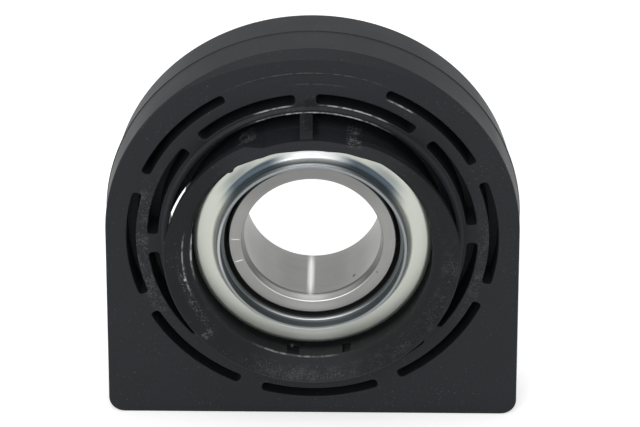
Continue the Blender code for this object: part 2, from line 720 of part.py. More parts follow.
def build():
    """Model the whole centre bearing."""
    clear_scene()
    rubber = make_material("black_rubber", (0.030, 0.032, 0.036), 0.62, 0.0)
    zinc = make_material("zinc_plate", (0.62, 0.65, 0.62), 0.38, 0.9)
    ground_steel = make_material("ground_steel", (0.56, 0.56, 0.57), 0.3, 1.0)
    seal_rubber = make_material("seal_rubber", (0.02, 0.02, 0.02), 0.5, 0.0)
    ball_steel = make_material("ball_steel", (0.7, 0.7, 0.72), 0.12, 1.0)
    cage_steel = make_material("cage_steel", (0.45, 0.43, 0.4), 0.4, 1.0)

    mount_axis = make_axis("mount_axis")
    ring_axis = make_axis("ring_axis")
    cage_axis = make_axis("cage_axis")

    make_cushion(rubber, mount_axis)
    spun("front_housing_shell", shell_profile(), zinc, mount_axis)
    spun("rear_housing_shell", mirrored(shell_profile()), zinc, mount_axis)
    spun("front_seal", seal_profile(), seal_rubber, mount_axis)
    spun("rear_seal", mirrored(seal_profile()), seal_rubber, mount_axis)
    spun("outer_ring", outer_ring_profile(), ground_steel, mount_axis)
    spun("inner_ring", inner_ring_profile(), ground_steel, ring_axis)

    rivet_tool = make_rivet_tool(cage_axis)
    make_cage("cage_front", -1.0, cage_steel, cage_axis, rivet_tool)
    make_cage("cage_rear", 1.0, cage_steel, cage_axis, rivet_tool)
    make_rivets(cage_steel, cage_axis)
    make_balls(ball_steel, cage_axis)


build()
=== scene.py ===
"""Looks of the driveshaft centre bearing: rubber cushion, pressed shells, seals and ball bearing.

Lengths are metres and angles degrees, but the lengths of zones, which mark wear, dust, painted shade and
painted highlights, are millimetres. The shaft axis runs along Y, the front faces -Y and the base is at Z = 0.
Turned and moulded forms are drawn round the shaft axis, and then lifted to its height.
"""
import logging
import math
from dataclasses import dataclass
from enum import Enum
from typing import Callable, Sequence

import bmesh
import bpy
from mathutils import Matrix, Vector, noise


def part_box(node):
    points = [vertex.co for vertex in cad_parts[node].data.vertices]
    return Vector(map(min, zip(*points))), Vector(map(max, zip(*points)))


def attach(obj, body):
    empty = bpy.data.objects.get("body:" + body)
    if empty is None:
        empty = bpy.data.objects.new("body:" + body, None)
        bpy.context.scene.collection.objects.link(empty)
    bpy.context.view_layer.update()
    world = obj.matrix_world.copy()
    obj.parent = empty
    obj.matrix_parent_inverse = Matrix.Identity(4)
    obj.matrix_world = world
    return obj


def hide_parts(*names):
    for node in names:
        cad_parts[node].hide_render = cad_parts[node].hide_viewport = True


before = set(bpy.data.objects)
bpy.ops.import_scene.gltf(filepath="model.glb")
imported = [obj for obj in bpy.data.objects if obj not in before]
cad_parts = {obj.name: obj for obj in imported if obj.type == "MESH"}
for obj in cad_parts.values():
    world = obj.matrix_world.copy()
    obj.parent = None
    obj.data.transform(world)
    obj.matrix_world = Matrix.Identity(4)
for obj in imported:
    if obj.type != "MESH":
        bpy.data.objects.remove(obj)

LOG = logging.getLogger("centre_bearing")
MM = 0.001
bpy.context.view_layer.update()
BLOCK_HALF = 18.9 * MM       # half the cushion block's thickness
SHELL_FACE = 21.7 * MM       # depth of the shells' flat annulus
SHEET = 1.7 * MM             # thickness of the pressed sheet
PITCH_RADIUS = 45.5 * MM     # of the ring of balls

Point = tuple[float, float]
Colour = tuple[float, float, float]
Socket = bpy.types.NodeSocket


class Side(Enum):
    """Which end of the shaft axis a piece faces."""

    FRONT = -1.0
    REAR = 1.0

    @property
    def word(self) -> str:
        """Return the side's name as the pieces use it."""
        return self.name.lower()


class Join(Enum):
    """How a form joins the moulding."""

    ADD = "UNION"
    CUT = "DIFFERENCE"


@dataclass(frozen=True)
class Corner:
    """One corner of a turned section, with the radius that eases it."""

    radius: float
    y: float
    ease: float = 0.0


@dataclass(frozen=True)
class Datum:
    """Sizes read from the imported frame, which every piece is tied to."""

    axis_z: float
    ring_half: float
    ring_land: float
    shell_radius: float
    shell_tip: float
    block_half: float
    flange_tip: float
    collar_tip: float

    @classmethod
    def read(cls) -> "Datum":
        """Read the main sizes from the boxes of the CAD nodes.

        Returns:
            The sizes, in metres, with radii from the shaft axis.
        """
        ring_low, ring_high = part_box("inner_ring")
        shell_low, shell_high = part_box("front_housing_shell")
        cushion_low, cushion_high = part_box("rubber_cushion")
        return cls(
            axis_z=(ring_low.z + ring_high.z) / 2,
            ring_half=ring_high.y,
            ring_land=(ring_high.x - ring_low.x) / 2,
            shell_radius=(shell_high.x - shell_low.x) / 2,
            shell_tip=-shell_low.y,
            block_half=BLOCK_HALF,
            flange_tip=-cushion_low.y,
            collar_tip=cushion_high.y,
        )


def place(radius: float, degrees: float) -> Point:
    """Return the X and Z of a point round the shaft axis."""
    turn = math.radians(degrees)
    return radius * math.cos(turn), radius * math.sin(turn)


def blend(low: float, high: float, share: float) -> float:
    """Return the value at a share of the way from low to high."""
    return low + (high - low) * share


def soft_step(value: float) -> float:
    """Return a smooth rise from 0 to 1 as the value does.

    Args:
        value: Any number, held between 0 and 1.

    Returns:
        The eased value.
    """
    value = min(max(value, 0.0), 1.0)
    return value * value * (3.0 - 2.0 * value)


def eased(corners: Sequence[Corner], steps: int = 4) -> list[Point]:
    """Round each corner of a closed section by its own radius.

    Args:
        corners: The section's corners, in order round it.
        steps: Straight pieces in each rounded corner.

    Returns:
        Points of radius and Y round the eased section.
    """
    points: list[Point] = []
    count = len(corners)
    for index, corner in enumerate(corners):
        here = Vector((corner.radius, corner.y))
        before = Vector((corners[index - 1].radius, corners[index - 1].y)) - here
        after = Vector((corners[(index + 1) % count].radius, corners[(index + 1) % count].y)) - here
        if corner.ease <= 0.0:
            points.append((here.x, here.y))
            continue
        opening = before.angle(after)
        reach = min(corner.ease / math.tan(opening / 2), 0.48 * before.length, 0.48 * after.length)
        radius = reach * math.tan(opening / 2)
        towards = (before.normalized() + after.normalized()).normalized()
        centre = here + towards * (radius / math.sin(opening / 2))
        first = here + before.normalized() * reach - centre
        last = here + after.normalized() * reach - centre
        for step in range(steps + 1):
            spoke = first.slerp(last, step / steps).normalized() * radius
            points.append((centre.x + spoke.x, centre.y + spoke.y))
    return points


def round_over(radius: float, steps: int) -> list[Point]:
    """Return inset and depth of a quarter-round edge, from the face to the wall.

    Args:
        radius: The edge's radius.
        steps: Straight pieces in the quarter.

    Returns:
        Pairs of inset and depth.
    """
    turns = [math.pi / 2 * step / steps for step in range(steps + 1)]
    return [(radius * (1 - math.sin(turn)), radius * (1 - math.cos(turn))) for turn in turns]


def sector(low: float, high: float, start: float, end: float, corner: float, steps: int,
           bend: int) -> list[Point]:
    """Outline a curved slot with rounded corners.

    Args:
        low: Radius of the side nearer the axis.
        high: Radius of the outer side.
        start: Angle where it starts.
        end: Angle where it ends.
        corner: Radius of its corners.
        steps: Straight pieces along each long side.
        bend: Straight pieces in each corner.

    Returns:
        Points of X and Z round the outline.
    """
    points: list[Point] = []
    for radius, across, near, far in ((low, 1.0, start, end), (high, -1.0, end, start)):
        along = 1.0 if far > near else -1.0
        centre_r = radius + across * corner
        ease = along * math.degrees(corner / centre_r)
        first, last = near + ease, far - ease
        rising = [step / bend for step in range(bend)]
        falling = [1 - step / bend for step in range(1, bend + 1)]
        points += [corner_point(centre_r, first, corner, -along, -across, share) for share in rising]
        points += [place(radius, blend(first, last, step / steps)) for step in range(steps + 1)]
        points += [corner_point(centre_r, last, corner, along, -across, share) for share in falling]
    return points


def corner_point(centre_r: float, degrees: float, radius: float, along: float, outward: float,
                 share: float) -> Point:
    """Return a point on the rounded corner of a slot.

    Args:
        centre_r: Radius at which the corner's centre lies.
        degrees: Angle at which it lies.
        radius: The corner's own radius.
        along: 1 or -1, the way the corner faces round the axis.
        outward: 1 or -1, the way it faces from the axis.
        share: 0 on the slot's end wall, 1 on its long side.

    Returns:
        The point's X and Z.
    """
    turn = math.radians(degrees)
    bend = math.pi / 2 * share
    out = centre_r + outward * radius * math.sin(bend)
    side = along * radius * math.cos(bend)
    return out * math.cos(turn) - side * math.sin(turn), out * math.sin(turn) + side * math.cos(turn)


class Former:
    """Makes plain mesh objects round the shaft axis from sections and outlines."""

    @staticmethod
    def wrap(name: str, bm: bmesh.types.BMesh) -> bpy.types.Object:
        """Turn a bmesh into a linked object with its faces pointing out.

        Args:
            name: The object's name.
            bm: The mesh under construction, freed afterwards.

        Returns:
            The new object.
        """
        bmesh.ops.remove_doubles(bm, verts=bm.verts, dist=1e-7)
        bmesh.ops.recalc_face_normals(bm, faces=bm.faces)
        mesh = bpy.data.meshes.new(name)
        bm.to_mesh(mesh)
        bm.free()
        item = bpy.data.objects.new(name, mesh)
        bpy.context.scene.collection.objects.link(item)
        return item

    @classmethod
    def turned(cls, name: str, section: Sequence[Point], steps: int, start: float = 0.0,
               sweep: float = 360.0, centre_z: float = 0.0) -> bpy.types.Object:
        """Turn a closed section of radius and Y points about the shaft axis.

        Args:
            name: The object's name.
            section: Points of radius and Y.
            steps: Straight pieces round the turn.
            start: Angle of the first section.
            sweep: Angle turned through, 360 for a whole ring.
            centre_z: Height of the turn's centre over the shaft axis.

        Returns:
            The new object.
        """
        bm = bmesh.new()
        full = sweep >= 360.0
        loops = []
        for step in range(steps if full else steps + 1):
            angle = start + sweep * step / steps
            loop = []
            for radius, y in section:
                x, z = place(radius, angle)
                loop.append(bm.verts.new((x, y, centre_z + z)))
            loops.append(loop)
        cls.skin(bm, loops, full)
        return cls.wrap(name, bm)

    @classmethod
    def lofted(cls, name: str, loops: Sequence[Sequence[Vector]]) -> bpy.types.Object:
        """Skin a row of outlines and close both ends.

        Args:
            name: The object's name.
            loops: Outlines of equally many points.

        Returns:
            The new object.
        """
        bm = bmesh.new()
        cls.skin(bm, [[bm.verts.new(point) for point in loop] for loop in loops], False)
        return cls.wrap(name, bm)

    @classmethod
    def prism(cls, name: str, outline: Sequence[Point], near: float, far: float) -> bpy.types.Object:
        """Stretch an outline of X and Z points between two depths."""
        return cls.lofted(name, [[Vector((x, y, z)) for x, z in outline] for y in (near, far)])

    @staticmethod
    def skin(bm: bmesh.types.BMesh, loops: Sequence[Sequence[bmesh.types.BMVert]], ring: bool) -> None:
        """Join neighbouring loops by quads, and close the ends unless the loops make a ring.

        Args:
            bm: The mesh under construction.
            loops: Rows of its vertices.
            ring: Whether the last loop joins the first.
        """
        followers = list(loops[1:]) + ([loops[0]] if ring else [])
        for near, far in zip(loops, followers):
            for index in range(len(near)):
                after = (index + 1) % len(near)
                bm.faces.new((near[index], near[after], far[after], far[index]))
        if not ring:
            bm.faces.new(loops[0])
            bm.faces.new(list(reversed(loops[-1])))

    @staticmethod
    def combine(target: bpy.types.Object, tool: bpy.types.Object, join: Join) -> None:
        """Join or cut the target with the tool and delete the tool.

        Args:
            target: The object that stays.
            tool: The form that is added or taken away.
            join: Whether to add or to cut.
        """
        modifier = target.modifiers.new(join.name, "BOOLEAN")
        modifier.operation = join.value
        modifier.solver = "EXACT"
        modifier.object = tool
        Former.settle(target)
        bpy.data.objects.remove(tool)

    @staticmethod
    def settle(item: bpy.types.Object) -> None:
        """Replace an object's mesh by what its modifiers make of it, and drop them.

        Args:
            item: The object.
        """
        graph = bpy.context.evaluated_depsgraph_get()
        mesh = bpy.data.meshes.new_from_object(item.evaluated_get(graph), depsgraph=graph)
        item.modifiers.clear()
        item.data = mesh

    @staticmethod
    def smooth(item: bpy.types.Object, sharp: float = 38.0,
               crisp: "Callable[[Vector], bool] | None" = None) -> None:
        """Shade an object smooth between its sharp edges, with large faces kept flat.

        Args:
            item: The object.
            sharp: Angle beyond which an edge stays sharp.
            crisp: Test of a point, for edges that stay sharp at a smaller angle.
        """
        item.data.shade_smooth()
        item.data.set_sharp_from_angle(angle=math.radians(sharp))
        if crisp:
            points = [crisp(vertex.co) for vertex in item.data.vertices]
            for edge in item.data.edges:
                first, last = edge.vertices
                edge.use_edge_sharp = edge.use_edge_sharp or (points[first] and points[last])
        weighted = item.modifiers.new("even_faces", "WEIGHTED_NORMAL")
        weighted.mode = "FACE_AREA"
        weighted.keep_sharp = True
        Former.settle(item)

    @staticmethod
    def lift(item: bpy.types.Object, height: float) -> None:
        """Raise the mesh itself, so that the object stays at the origin."""
        item.data.transform(Matrix.Translation((0.0, 0.0, height)))


class RingPattern:
    """Geometry Nodes tree that repeats one form round the shaft axis."""

    def __init__(self) -> None:
        """Build the tree with its named inputs."""
        self.tree = bpy.data.node_groups.new("ring_pattern", "GeometryNodeTree")
        self.sockets: dict[str, str] = {}
        face = self.tree.interface
        kinds = {"Geometry": "NodeSocketGeometry", "Form": "NodeSocketObject", "Count": "NodeSocketInt",
                 "Pitch": "NodeSocketFloat", "First": "NodeSocketFloat", "Left out": "NodeSocketInt",
                 "Finish": "NodeSocketMaterial"}
        for title, kind in kinds.items():
            self.sockets[title] = face.new_socket(title, in_out="INPUT", socket_type=kind).identifier
        face.new_socket("Geometry", in_out="OUTPUT", socket_type="NodeSocketGeometry")
        nodes, links = self.tree.nodes, self.tree.links
        given = nodes.new("NodeGroupInput")
        line = nodes.new("GeometryNodeMeshLine")
        line.inputs["Offset"].default_value = (0.0, 0.0, 0.0)
        form = nodes.new("GeometryNodeObjectInfo")
        index = nodes.new("GeometryNodeInputIndex")
        kept = nodes.new("FunctionNodeCompare")
        kept.data_type, kept.operation = "INT", "NOT_EQUAL"
        turned = self.calculate("MULTIPLY_ADD", index.outputs[0], given.outputs["Pitch"],
                                given.outputs["First"])
        radians = self.calculate("RADIANS", turned)
        spin = self.calculate("MULTIPLY", radians, -1.0)
        angle = nodes.new("ShaderNodeCombineXYZ")
        copies = nodes.new("GeometryNodeInstanceOnPoints")
        real = nodes.new("GeometryNodeRealizeInstances")
        dressed = nodes.new("GeometryNodeSetMaterial")
        shown = nodes.new("NodeGroupOutput")
        integer_inputs = [socket for socket in kept.inputs if socket.type == "INT"]
        links.new(given.outputs["Count"], line.inputs["Count"])
        links.new(given.outputs["Form"], form.inputs["Object"])
        links.new(index.outputs[0], integer_inputs[0])
        links.new(given.outputs["Left out"], integer_inputs[1])
        links.new(spin, angle.inputs["Y"])
        links.new(line.outputs["Mesh"], copies.inputs["Points"])
        links.new(kept.outputs["Result"], copies.inputs["Selection"])
        links.new(form.outputs["Geometry"], copies.inputs["Instance"])
        links.new(angle.outputs["Vector"], copies.inputs["Rotation"])
        links.new(copies.outputs["Instances"], real.inputs["Geometry"])
        links.new(real.outputs["Geometry"], dressed.inputs["Geometry"])
        links.new(given.outputs["Finish"], dressed.inputs["Material"])
        links.new(dressed.outputs["Geometry"], shown.inputs[0])

    def calculate(self, operation: str, *values: "Socket | float") -> Socket:
        """Add a Math node over sockets or numbers and return its result.

        Args:
            operation: The node's operation.
            values: A socket or number for each input.

        Returns:
            The node's output.
        """
        node = self.tree.nodes.new("ShaderNodeMath")
        node.operation = operation
        for socket, value in zip(node.inputs, values):
            if isinstance(value, Socket):
                self.tree.links.new(value, socket)
            else:
                socket.default_value = value
        return node.outputs[0]

    def repeat(self, name: str, form: bpy.types.Object, count: int, pitch: float, first: float,
               finish: "bpy.types.Material | None" = None, left_out: int = -1) -> bpy.types.Object:
        """Repeat a form round the axis as one plain mesh.

        Args:
            name: Name of the new object.
            form: The form drawn at angle 0, which is deleted afterwards.
            count: How many places the pattern has.
            pitch: Angle from one to the next.
            first: Angle of the first.
            finish: Material of the copies.
            left_out: Index of a place that stays empty, or -1.

        Returns:
            The object that holds every copy.
        """
        item = bpy.data.objects.new(name, bpy.data.meshes.new(name))
        bpy.context.scene.collection.objects.link(item)
        modifier = item.modifiers.new(name, "NODES")
        modifier.node_group = self.tree
        values = {"Form": form, "Count": count, "Pitch": float(pitch), "First": float(first),
                  "Left out": left_out, "Finish": finish}
        for title, value in values.items():
            modifier[self.sockets[title]] = value
        Former.settle(item)
        bpy.data.objects.remove(form)
        return item


class Graph:
    """Short words for adding nodes to one shader tree."""

    def __init__(self, tree: bpy.types.NodeTree) -> None:
        """Keep the tree that the nodes go into."""
        self.tree = tree

    def node(self, kind: str, **settings: object) -> bpy.types.Node:
        """Add a node and set its own properties.

        Args:
            kind: The node's type.
            settings: Its properties by name.

        Returns:
            The node.
        """
        made = self.tree.nodes.new(kind)
        for key, value in settings.items():
            setattr(made, key, value)
        return made

    def feed(self, socket: Socket, value: object) -> None:
        """Link a socket to another one, or give it a plain value.

        Args:
            socket: The input that is set.
            value: A socket, a plain value, or None to leave it.
        """
        if isinstance(value, Socket):
            self.tree.links.new(value, socket)
        elif value is not None:
            socket.default_value = value

    def math(self, operation: str, *values: object, clamp: bool = False) -> Socket:
        """Add a Math node and return its result.

        Args:
            operation: The node's operation.
            values: A socket or number for each input.
            clamp: Whether the result is kept between 0 and 1.

        Returns:
            The node's output.
        """
        made = self.node("ShaderNodeMath", operation=operation, use_clamp=clamp)
        for socket, value in zip(made.inputs, values):
            self.feed(socket, value)
        return made.outputs[0]

    def span(self, value: object, low: object, high: object, to_low: float = 0.0, to_high: float = 1.0,
             kind: str = "SMOOTHSTEP") -> Socket:
        """Map a value from one range to another and keep it inside.

        Args:
            value: What is mapped.
            low: Start of its range.
            high: End of its range.
            to_low: Result at the start.
            to_high: Result at the end.
            kind: How it runs between.

        Returns:
            The mapped value.
        """
        made = self.node("ShaderNodeMapRange", interpolation_type=kind)
        for title, given in (("Value", value), ("From Min", low), ("From Max", high),
                             ("To Min", to_low), ("To Max", to_high)):
            self.feed(made.inputs[title], given)
        return made.outputs["Result"]

    def noise(self, vector: object, scale: object, detail: float, rough: float) -> Socket:
        """Add a Noise Texture and return its value.

        Args:
            vector: Where it is read.
            scale: Its scale.
            detail: Its octaves.
            rough: How strong the finer ones are.

        Returns:
            The value, 0 to 1.
        """
        made = self.node("ShaderNodeTexNoise")
        self.feed(made.inputs["Vector"], vector)
        self.feed(made.inputs["Scale"], scale)
        self.feed(made.inputs["Detail"], detail)
        self.feed(made.inputs["Roughness"], rough)
        return made.outputs["Fac"]

    def mix(self, share: object, low: object, high: object) -> Socket:
        """Mix two colours.

        Args:
            share: 0 for the first colour, 1 for the second.
            low: First colour.
            high: Second colour.

        Returns:
            The mixed colour.
        """
        made = self.node("ShaderNodeMix", data_type="RGBA")
        colours = [socket for socket in made.inputs if socket.type == "RGBA"]
        self.feed(made.inputs["Factor"], share)
        self.feed(colours[0], low)
        self.feed(colours[1], high)
        return next(socket for socket in made.outputs if socket.type == "RGBA")

    def group(self, tree: bpy.types.NodeTree, **values: object) -> bpy.types.Node:
        """Place a node group and set its inputs, with underscores for spaces in their names.

        Args:
            tree: The group.
            values: A socket or number for each named input.

        Returns:
            The group's node.
        """
        made = self.node("ShaderNodeGroup")
        made.node_tree = tree
        for title, value in values.items():
            self.feed(made.inputs[title.replace("_", " ")], value)
        return made

    def bump(self, height: object, strength: float, distance: float) -> Socket:
        """Add a Bump node over a height in metres and return its normal.

        Args:
            height: The height's mask.
            strength: How strong the bump is.
            distance: Height of the mask's full rise, in metres.

        Returns:
            The normal.
        """
        made = self.node("ShaderNodeBump")
        self.feed(made.inputs["Height"], height)
        made.inputs["Strength"].default_value = strength
        made.inputs["Distance"].default_value = distance
        return made.outputs["Normal"]

    def white_to_eye(self) -> Socket:
        """Return 1 for rays from the camera, off a mirror or through glass, and 0 for the others."""
        path = self.node("ShaderNodeLightPath")
        bent = self.math("MAXIMUM", path.outputs["Is Glossy Ray"], path.outputs["Is Transmission Ray"])
        return self.math("MAXIMUM", path.outputs["Is Camera Ray"], bent)


@dataclass
class Effects:
    """Shader node groups that several finishes share, each built once."""

    axis_z: float

    def __post_init__(self) -> None:
        """Build every group."""
        self.polar = self.make_polar()
        self.specks = self.make_specks()
        self.zone = self.make_zone()
        self.turning = self.make_turning()
        self.mottle = self.make_mottle()

    @staticmethod
    def start(name: str, inputs: dict[str, float],
              outputs: Sequence[str]) -> tuple[Graph, bpy.types.Node, bpy.types.Node]:
        """Start a shader group with number inputs and outputs.

        Args:
            name: The group's name.
            inputs: Each input's name and starting value.
            outputs: Names of the outputs.

        Returns:
            The graph, its input node and its output node.
        """
        tree = bpy.data.node_groups.new(name, "ShaderNodeTree")
        for title, value in inputs.items():
            socket = tree.interface.new_socket(title, in_out="INPUT", socket_type="NodeSocketFloat")
            socket.default_value = value
        for title in outputs:
            tree.interface.new_socket(title, in_out="OUTPUT", socket_type="NodeSocketFloat")
        graph = Graph(tree)
        return graph, graph.node("NodeGroupInput"), graph.node("NodeGroupOutput")

    def make_polar(self) -> bpy.types.NodeTree:
        """Return the group that reads radius, angle and depth from the shaft axis.

        Returns:
            The node group.
        """
        graph, _, shown = self.start("shaft_polar", {}, ("Radius", "Angle", "Depth"))
        where = graph.node("ShaderNodeTexCoord")
        parts = graph.node("ShaderNodeSeparateXYZ")
        graph.feed(parts.inputs[0], where.outputs["Object"])
        rise = graph.math("SUBTRACT", parts.outputs["Z"], self.axis_z)
        square = graph.math("ADD", graph.math("MULTIPLY", parts.outputs["X"], parts.outputs["X"]),
                            graph.math("MULTIPLY", rise, rise))
        turn = graph.math("DEGREES", graph.math("ARCTAN2", rise, parts.outputs["X"]))
        graph.feed(shown.inputs["Radius"], graph.math("SQRT", square))
        graph.feed(shown.inputs["Angle"], graph.math("FLOORED_MODULO", turn, 360.0))
        graph.feed(shown.inputs["Depth"], parts.outputs["Y"])
        return graph.tree

    def make_specks(self) -> bpy.types.NodeTree:
        """Return the group for small pale specks that gather in cloudy patches.

        Returns:
            The node group.
        """
        inputs = {"Scale": 900.0, "Amount": 0.3, "Patch Scale": 60.0}
        graph, given, shown = self.start("dust_specks", inputs, ("Mask",))
        where = graph.node("ShaderNodeTexCoord")
        fine = graph.noise(where.outputs["Object"], given.outputs["Scale"], 2.0, 0.6)
        patch = graph.noise(where.outputs["Object"], given.outputs["Patch Scale"], 3.0, 0.6)
        limit = graph.math("SUBTRACT", 0.78, graph.math("MULTIPLY", given.outputs["Amount"], patch))
        mask = graph.span(fine, limit, graph.math("ADD", limit, 0.07))
        graph.feed(shown.inputs["Mask"], mask)
        return graph.tree

    def make_zone(self) -> bpy.types.NodeTree:
        """Return the group for a soft window over radius, angle and depth.

        Returns:
            The node group.
        """
        inputs = {"Radius": 0.07, "Half Width": 0.004, "Angle": 90.0, "Half Angle": 180.0, "Depth": 0.0,
                  "Half Depth": 1.0, "Softness": 0.4}
        graph, given, shown = self.start("worn_zone", inputs, ("Mask",))
        polar = graph.group(self.polar)
        out = given.outputs
        across = graph.math("ABSOLUTE", graph.math("SUBTRACT", polar.outputs["Radius"], out["Radius"]))
        offset = graph.math("SUBTRACT", polar.outputs["Angle"], out["Angle"])
        wrapped = graph.math("FLOORED_MODULO", graph.math("ADD", offset, 180.0), 360.0)
        around = graph.math("ABSOLUTE", graph.math("SUBTRACT", wrapped, 180.0))
        along = graph.math("ABSOLUTE", graph.math("SUBTRACT", polar.outputs["Depth"], out["Depth"]))
        inner = graph.math("SUBTRACT", 1.0, out["Softness"])
        masks = []
        for distance, title in ((across, "Half Width"), (around, "Half Angle"), (along, "Half Depth")):
            share = graph.math("DIVIDE", distance, out[title])
            masks.append(graph.span(share, inner, 1.0, 1.0, 0.0))
        face = graph.math("MULTIPLY", masks[0], masks[1])
        graph.feed(shown.inputs["Mask"], graph.math("MULTIPLY", face, masks[2]))
        return graph.tree

    def make_turning(self) -> bpy.types.NodeTree:
        """Return the group for fine lines left by turning or grinding round the axis.

        Returns:
            The node group.
        """
        inputs = {"Across": 9000.0, "Along": 2600.0, "Round": 0.02}
        graph, given, shown = self.start("turning_lines", inputs, ("Lines",))
        polar = graph.group(self.polar)
        lines = graph.node("ShaderNodeCombineXYZ")
        axes = (("X", "Radius", "Across"), ("Y", "Depth", "Along"), ("Z", "Angle", "Round"))
        for axis, read, scale in axes:
            value = graph.math("MULTIPLY", polar.outputs[read], given.outputs[scale])
            graph.feed(lines.inputs[axis], value)
        graph.feed(shown.inputs["Lines"], graph.noise(lines.outputs[0], 1.0, 2.0, 0.6))
        return graph.tree

    def make_mottle(self) -> bpy.types.NodeTree:
        """Return the group for slow cloudy changes over a surface, centred on zero.

        Returns:
            The node group.
        """
        graph, given, shown = self.start("mottle", {"Scale": 25.0, "Detail": 3.0}, ("Change",))
        where = graph.node("ShaderNodeTexCoord")
        made = graph.node("ShaderNodeTexNoise")
        graph.feed(made.inputs["Vector"], where.outputs["Object"])
        graph.feed(made.inputs["Scale"], given.outputs["Scale"])
        graph.feed(made.inputs["Detail"], given.outputs["Detail"])
        graph.feed(shown.inputs["Change"], graph.math("SUBTRACT", made.outputs["Fac"], 0.5))
        return graph.tree


@dataclass(frozen=True)
class WornZone:
    """A patch of wear, dust or a mark, or of painted shade or a painted highlight, with its lengths in
    millimetres.

    It is centred on a radius, an angle and a depth from the shaft axis, and fades out at a half width, a
    half angle and a half depth from there. Its amount is the share of the mark's colour.
    """

    radius: float
    half_width: float
    angle: float
    half_angle: float
    depth: float
    half_depth: float
    amount: float
    scale: float = 900.0
    softness: float = 0.6

    def window(self, graph: Graph, effects: Effects) -> Socket:
        """Return the soft mask of the patch itself.

        Args:
            graph: The material's graph.
            effects: The shared shader groups.

        Returns:
            The mask, 0 to 1.
        """
        made = graph.group(effects.zone, Radius=self.radius * MM, Half_Width=self.half_width * MM,
                           Angle=self.angle, Half_Angle=self.half_angle, Depth=self.depth * MM,
                           Half_Depth=self.half_depth * MM, Softness=self.softness)
        return made.outputs["Mask"]


def gather(graph: Graph, effects: Effects, zones: Sequence[WornZone]) -> Socket:
    """Return one mask that holds every zone's window at its own amount.

    Args:
        graph: The material's graph.
        effects: The shared shader groups.
        zones: The zones.

    Returns:
        The mask.
    """
    mask: object = 0.0
    for zone in zones:
        mask = graph.math("MAXIMUM", mask, graph.math("MULTIPLY", zone.window(graph, effects), zone.amount))
    return mask


@dataclass(frozen=True)
class Finish:
    """What every finish shares: its name, main colour, roughness and metal share."""

    name: str
    colour: Colour
    roughness: float
    metallic: float

    def begin(self) -> tuple[bpy.types.Material, Graph, bpy.types.Node]:
        """Return a new material, its graph and its Principled shader.

        Returns:
            The material, the graph and the shader.
        """
        material = bpy.data.materials.new(self.name)
        material.use_nodes = True
        shader = material.node_tree.nodes["Principled BSDF"]
        shader.inputs["Metallic"].default_value = self.metallic
        return material, Graph(material.node_tree), shader

    def toned(self, factor: float) -> tuple[float, float, float, float]:
        """Return the main colour, lighter or darker, as four numbers."""
        return (*(min(part * factor, 1.0) for part in self.colour), 1.0)


@dataclass(frozen=True)
class RubberFinish(Finish):
    """Black moulded rubber with grey bloom, pale specks and scuffed zones, painted shade in its hollows and
    on the flange's sides, and painted highlights on its edges.
    """

    dust: Colour = (0.17, 0.175, 0.18)
    zones: tuple[WornZone, ...] = ()
    edges: tuple[WornZone, ...] = ()
    pale: Colour = (0.48, 0.49, 0.50)
    deep: tuple[WornZone, ...] = ()
    grain: float = 1600.0
    gloss: float = 0.2

    def material(self, effects: Effects) -> bpy.types.Material:
        """Build the rubber's material.

        Args:
            effects: The shared shader groups.

        Returns:
            The material.
        """
        material, graph, shader = self.begin()
        shader.inputs["Specular IOR Level"].default_value = self.gloss
        slow = graph.group(effects.mottle, Scale=32.0, Detail=4.0).outputs["Change"]
        fine = graph.group(effects.mottle, Scale=420.0, Detail=3.0).outputs["Change"]
        tone = graph.math("ADD", graph.math("MULTIPLY", slow, 0.9), graph.math("MULTIPLY", fine, 0.45))
        base = graph.mix(graph.math("ADD", tone, 0.5, clamp=True), self.toned(0.72), self.toned(1.32))
        # Painted shade: the rubber is darkened in its shaded zones.
        base = graph.mix(gather(graph, effects, self.deep), base, self.toned(0.3))
        specks = graph.group(effects.specks, Scale=1100.0, Amount=0.22, Patch_Scale=40.0).outputs["Mask"]
        mask = graph.math("MULTIPLY", specks, 0.35)
        for zone in self.zones:
            mask = graph.math("MAXIMUM", mask, self.worn(graph, effects, zone))
        colour = graph.mix(mask, base, (*self.dust, 1.0))
        # Painted highlights: thin pale lines where light catches the rubber's edges.
        if self.edges:
            colour = graph.mix(self.polished(graph, effects), colour, (*self.pale, 1.0))
        rough = graph.math("ADD", graph.math("MULTIPLY", slow, 0.25), self.roughness)
        rough = graph.math("ADD", rough, graph.math("MULTIPLY", mask, 0.35), clamp=True)
        grain = graph.group(effects.mottle, Scale=self.grain, Detail=2.0).outputs["Change"]
        height = graph.math("ADD", grain, graph.math("MULTIPLY", mask, 0.5))
        graph.feed(shader.inputs["Base Color"], colour)
        graph.feed(shader.inputs["Roughness"], rough)
        graph.feed(shader.inputs["Normal"], graph.bump(height, 0.35, 0.12 * MM))
        return material

    def polished(self, graph: Graph, effects: Effects) -> Socket:
        """Return the mask of the painted highlights on thin edges, which fade in and out along their length.

        Args:
            graph: The material's graph.
            effects: The shared shader groups.

        Returns:
            The mask, 0 to 1.
        """
        uneven = graph.group(effects.mottle, Scale=380.0, Detail=4.0).outputs["Change"]
        broken = graph.span(uneven, -0.12, 0.08, 0.2, 1.0)
        return graph.math("MULTIPLY", gather(graph, effects, self.edges), broken, clamp=True)

    @staticmethod
    def worn(graph: Graph, effects: Effects, zone: WornZone) -> Socket:
        """Return the mask of one scuffed zone, broken up into specks and smears.

        Args:
            graph: The material's graph.
            effects: The shared shader groups.
            zone: The zone.

        Returns:
            The mask.
        """
        specks = graph.group(effects.specks, Scale=zone.scale, Amount=0.45, Patch_Scale=110.0).outputs["Mask"]
        smear = graph.group(effects.mottle, Scale=190.0, Detail=5.0).outputs["Change"]
        smears = graph.span(smear, 0.02, 0.2, 0.0, 0.45)
        broken = graph.math("ADD", graph.math("MULTIPLY", specks, 0.9), smears)
        inside = graph.math("MULTIPLY", zone.window(graph, effects), broken)
        return graph.math("MULTIPLY", inside, zone.amount)


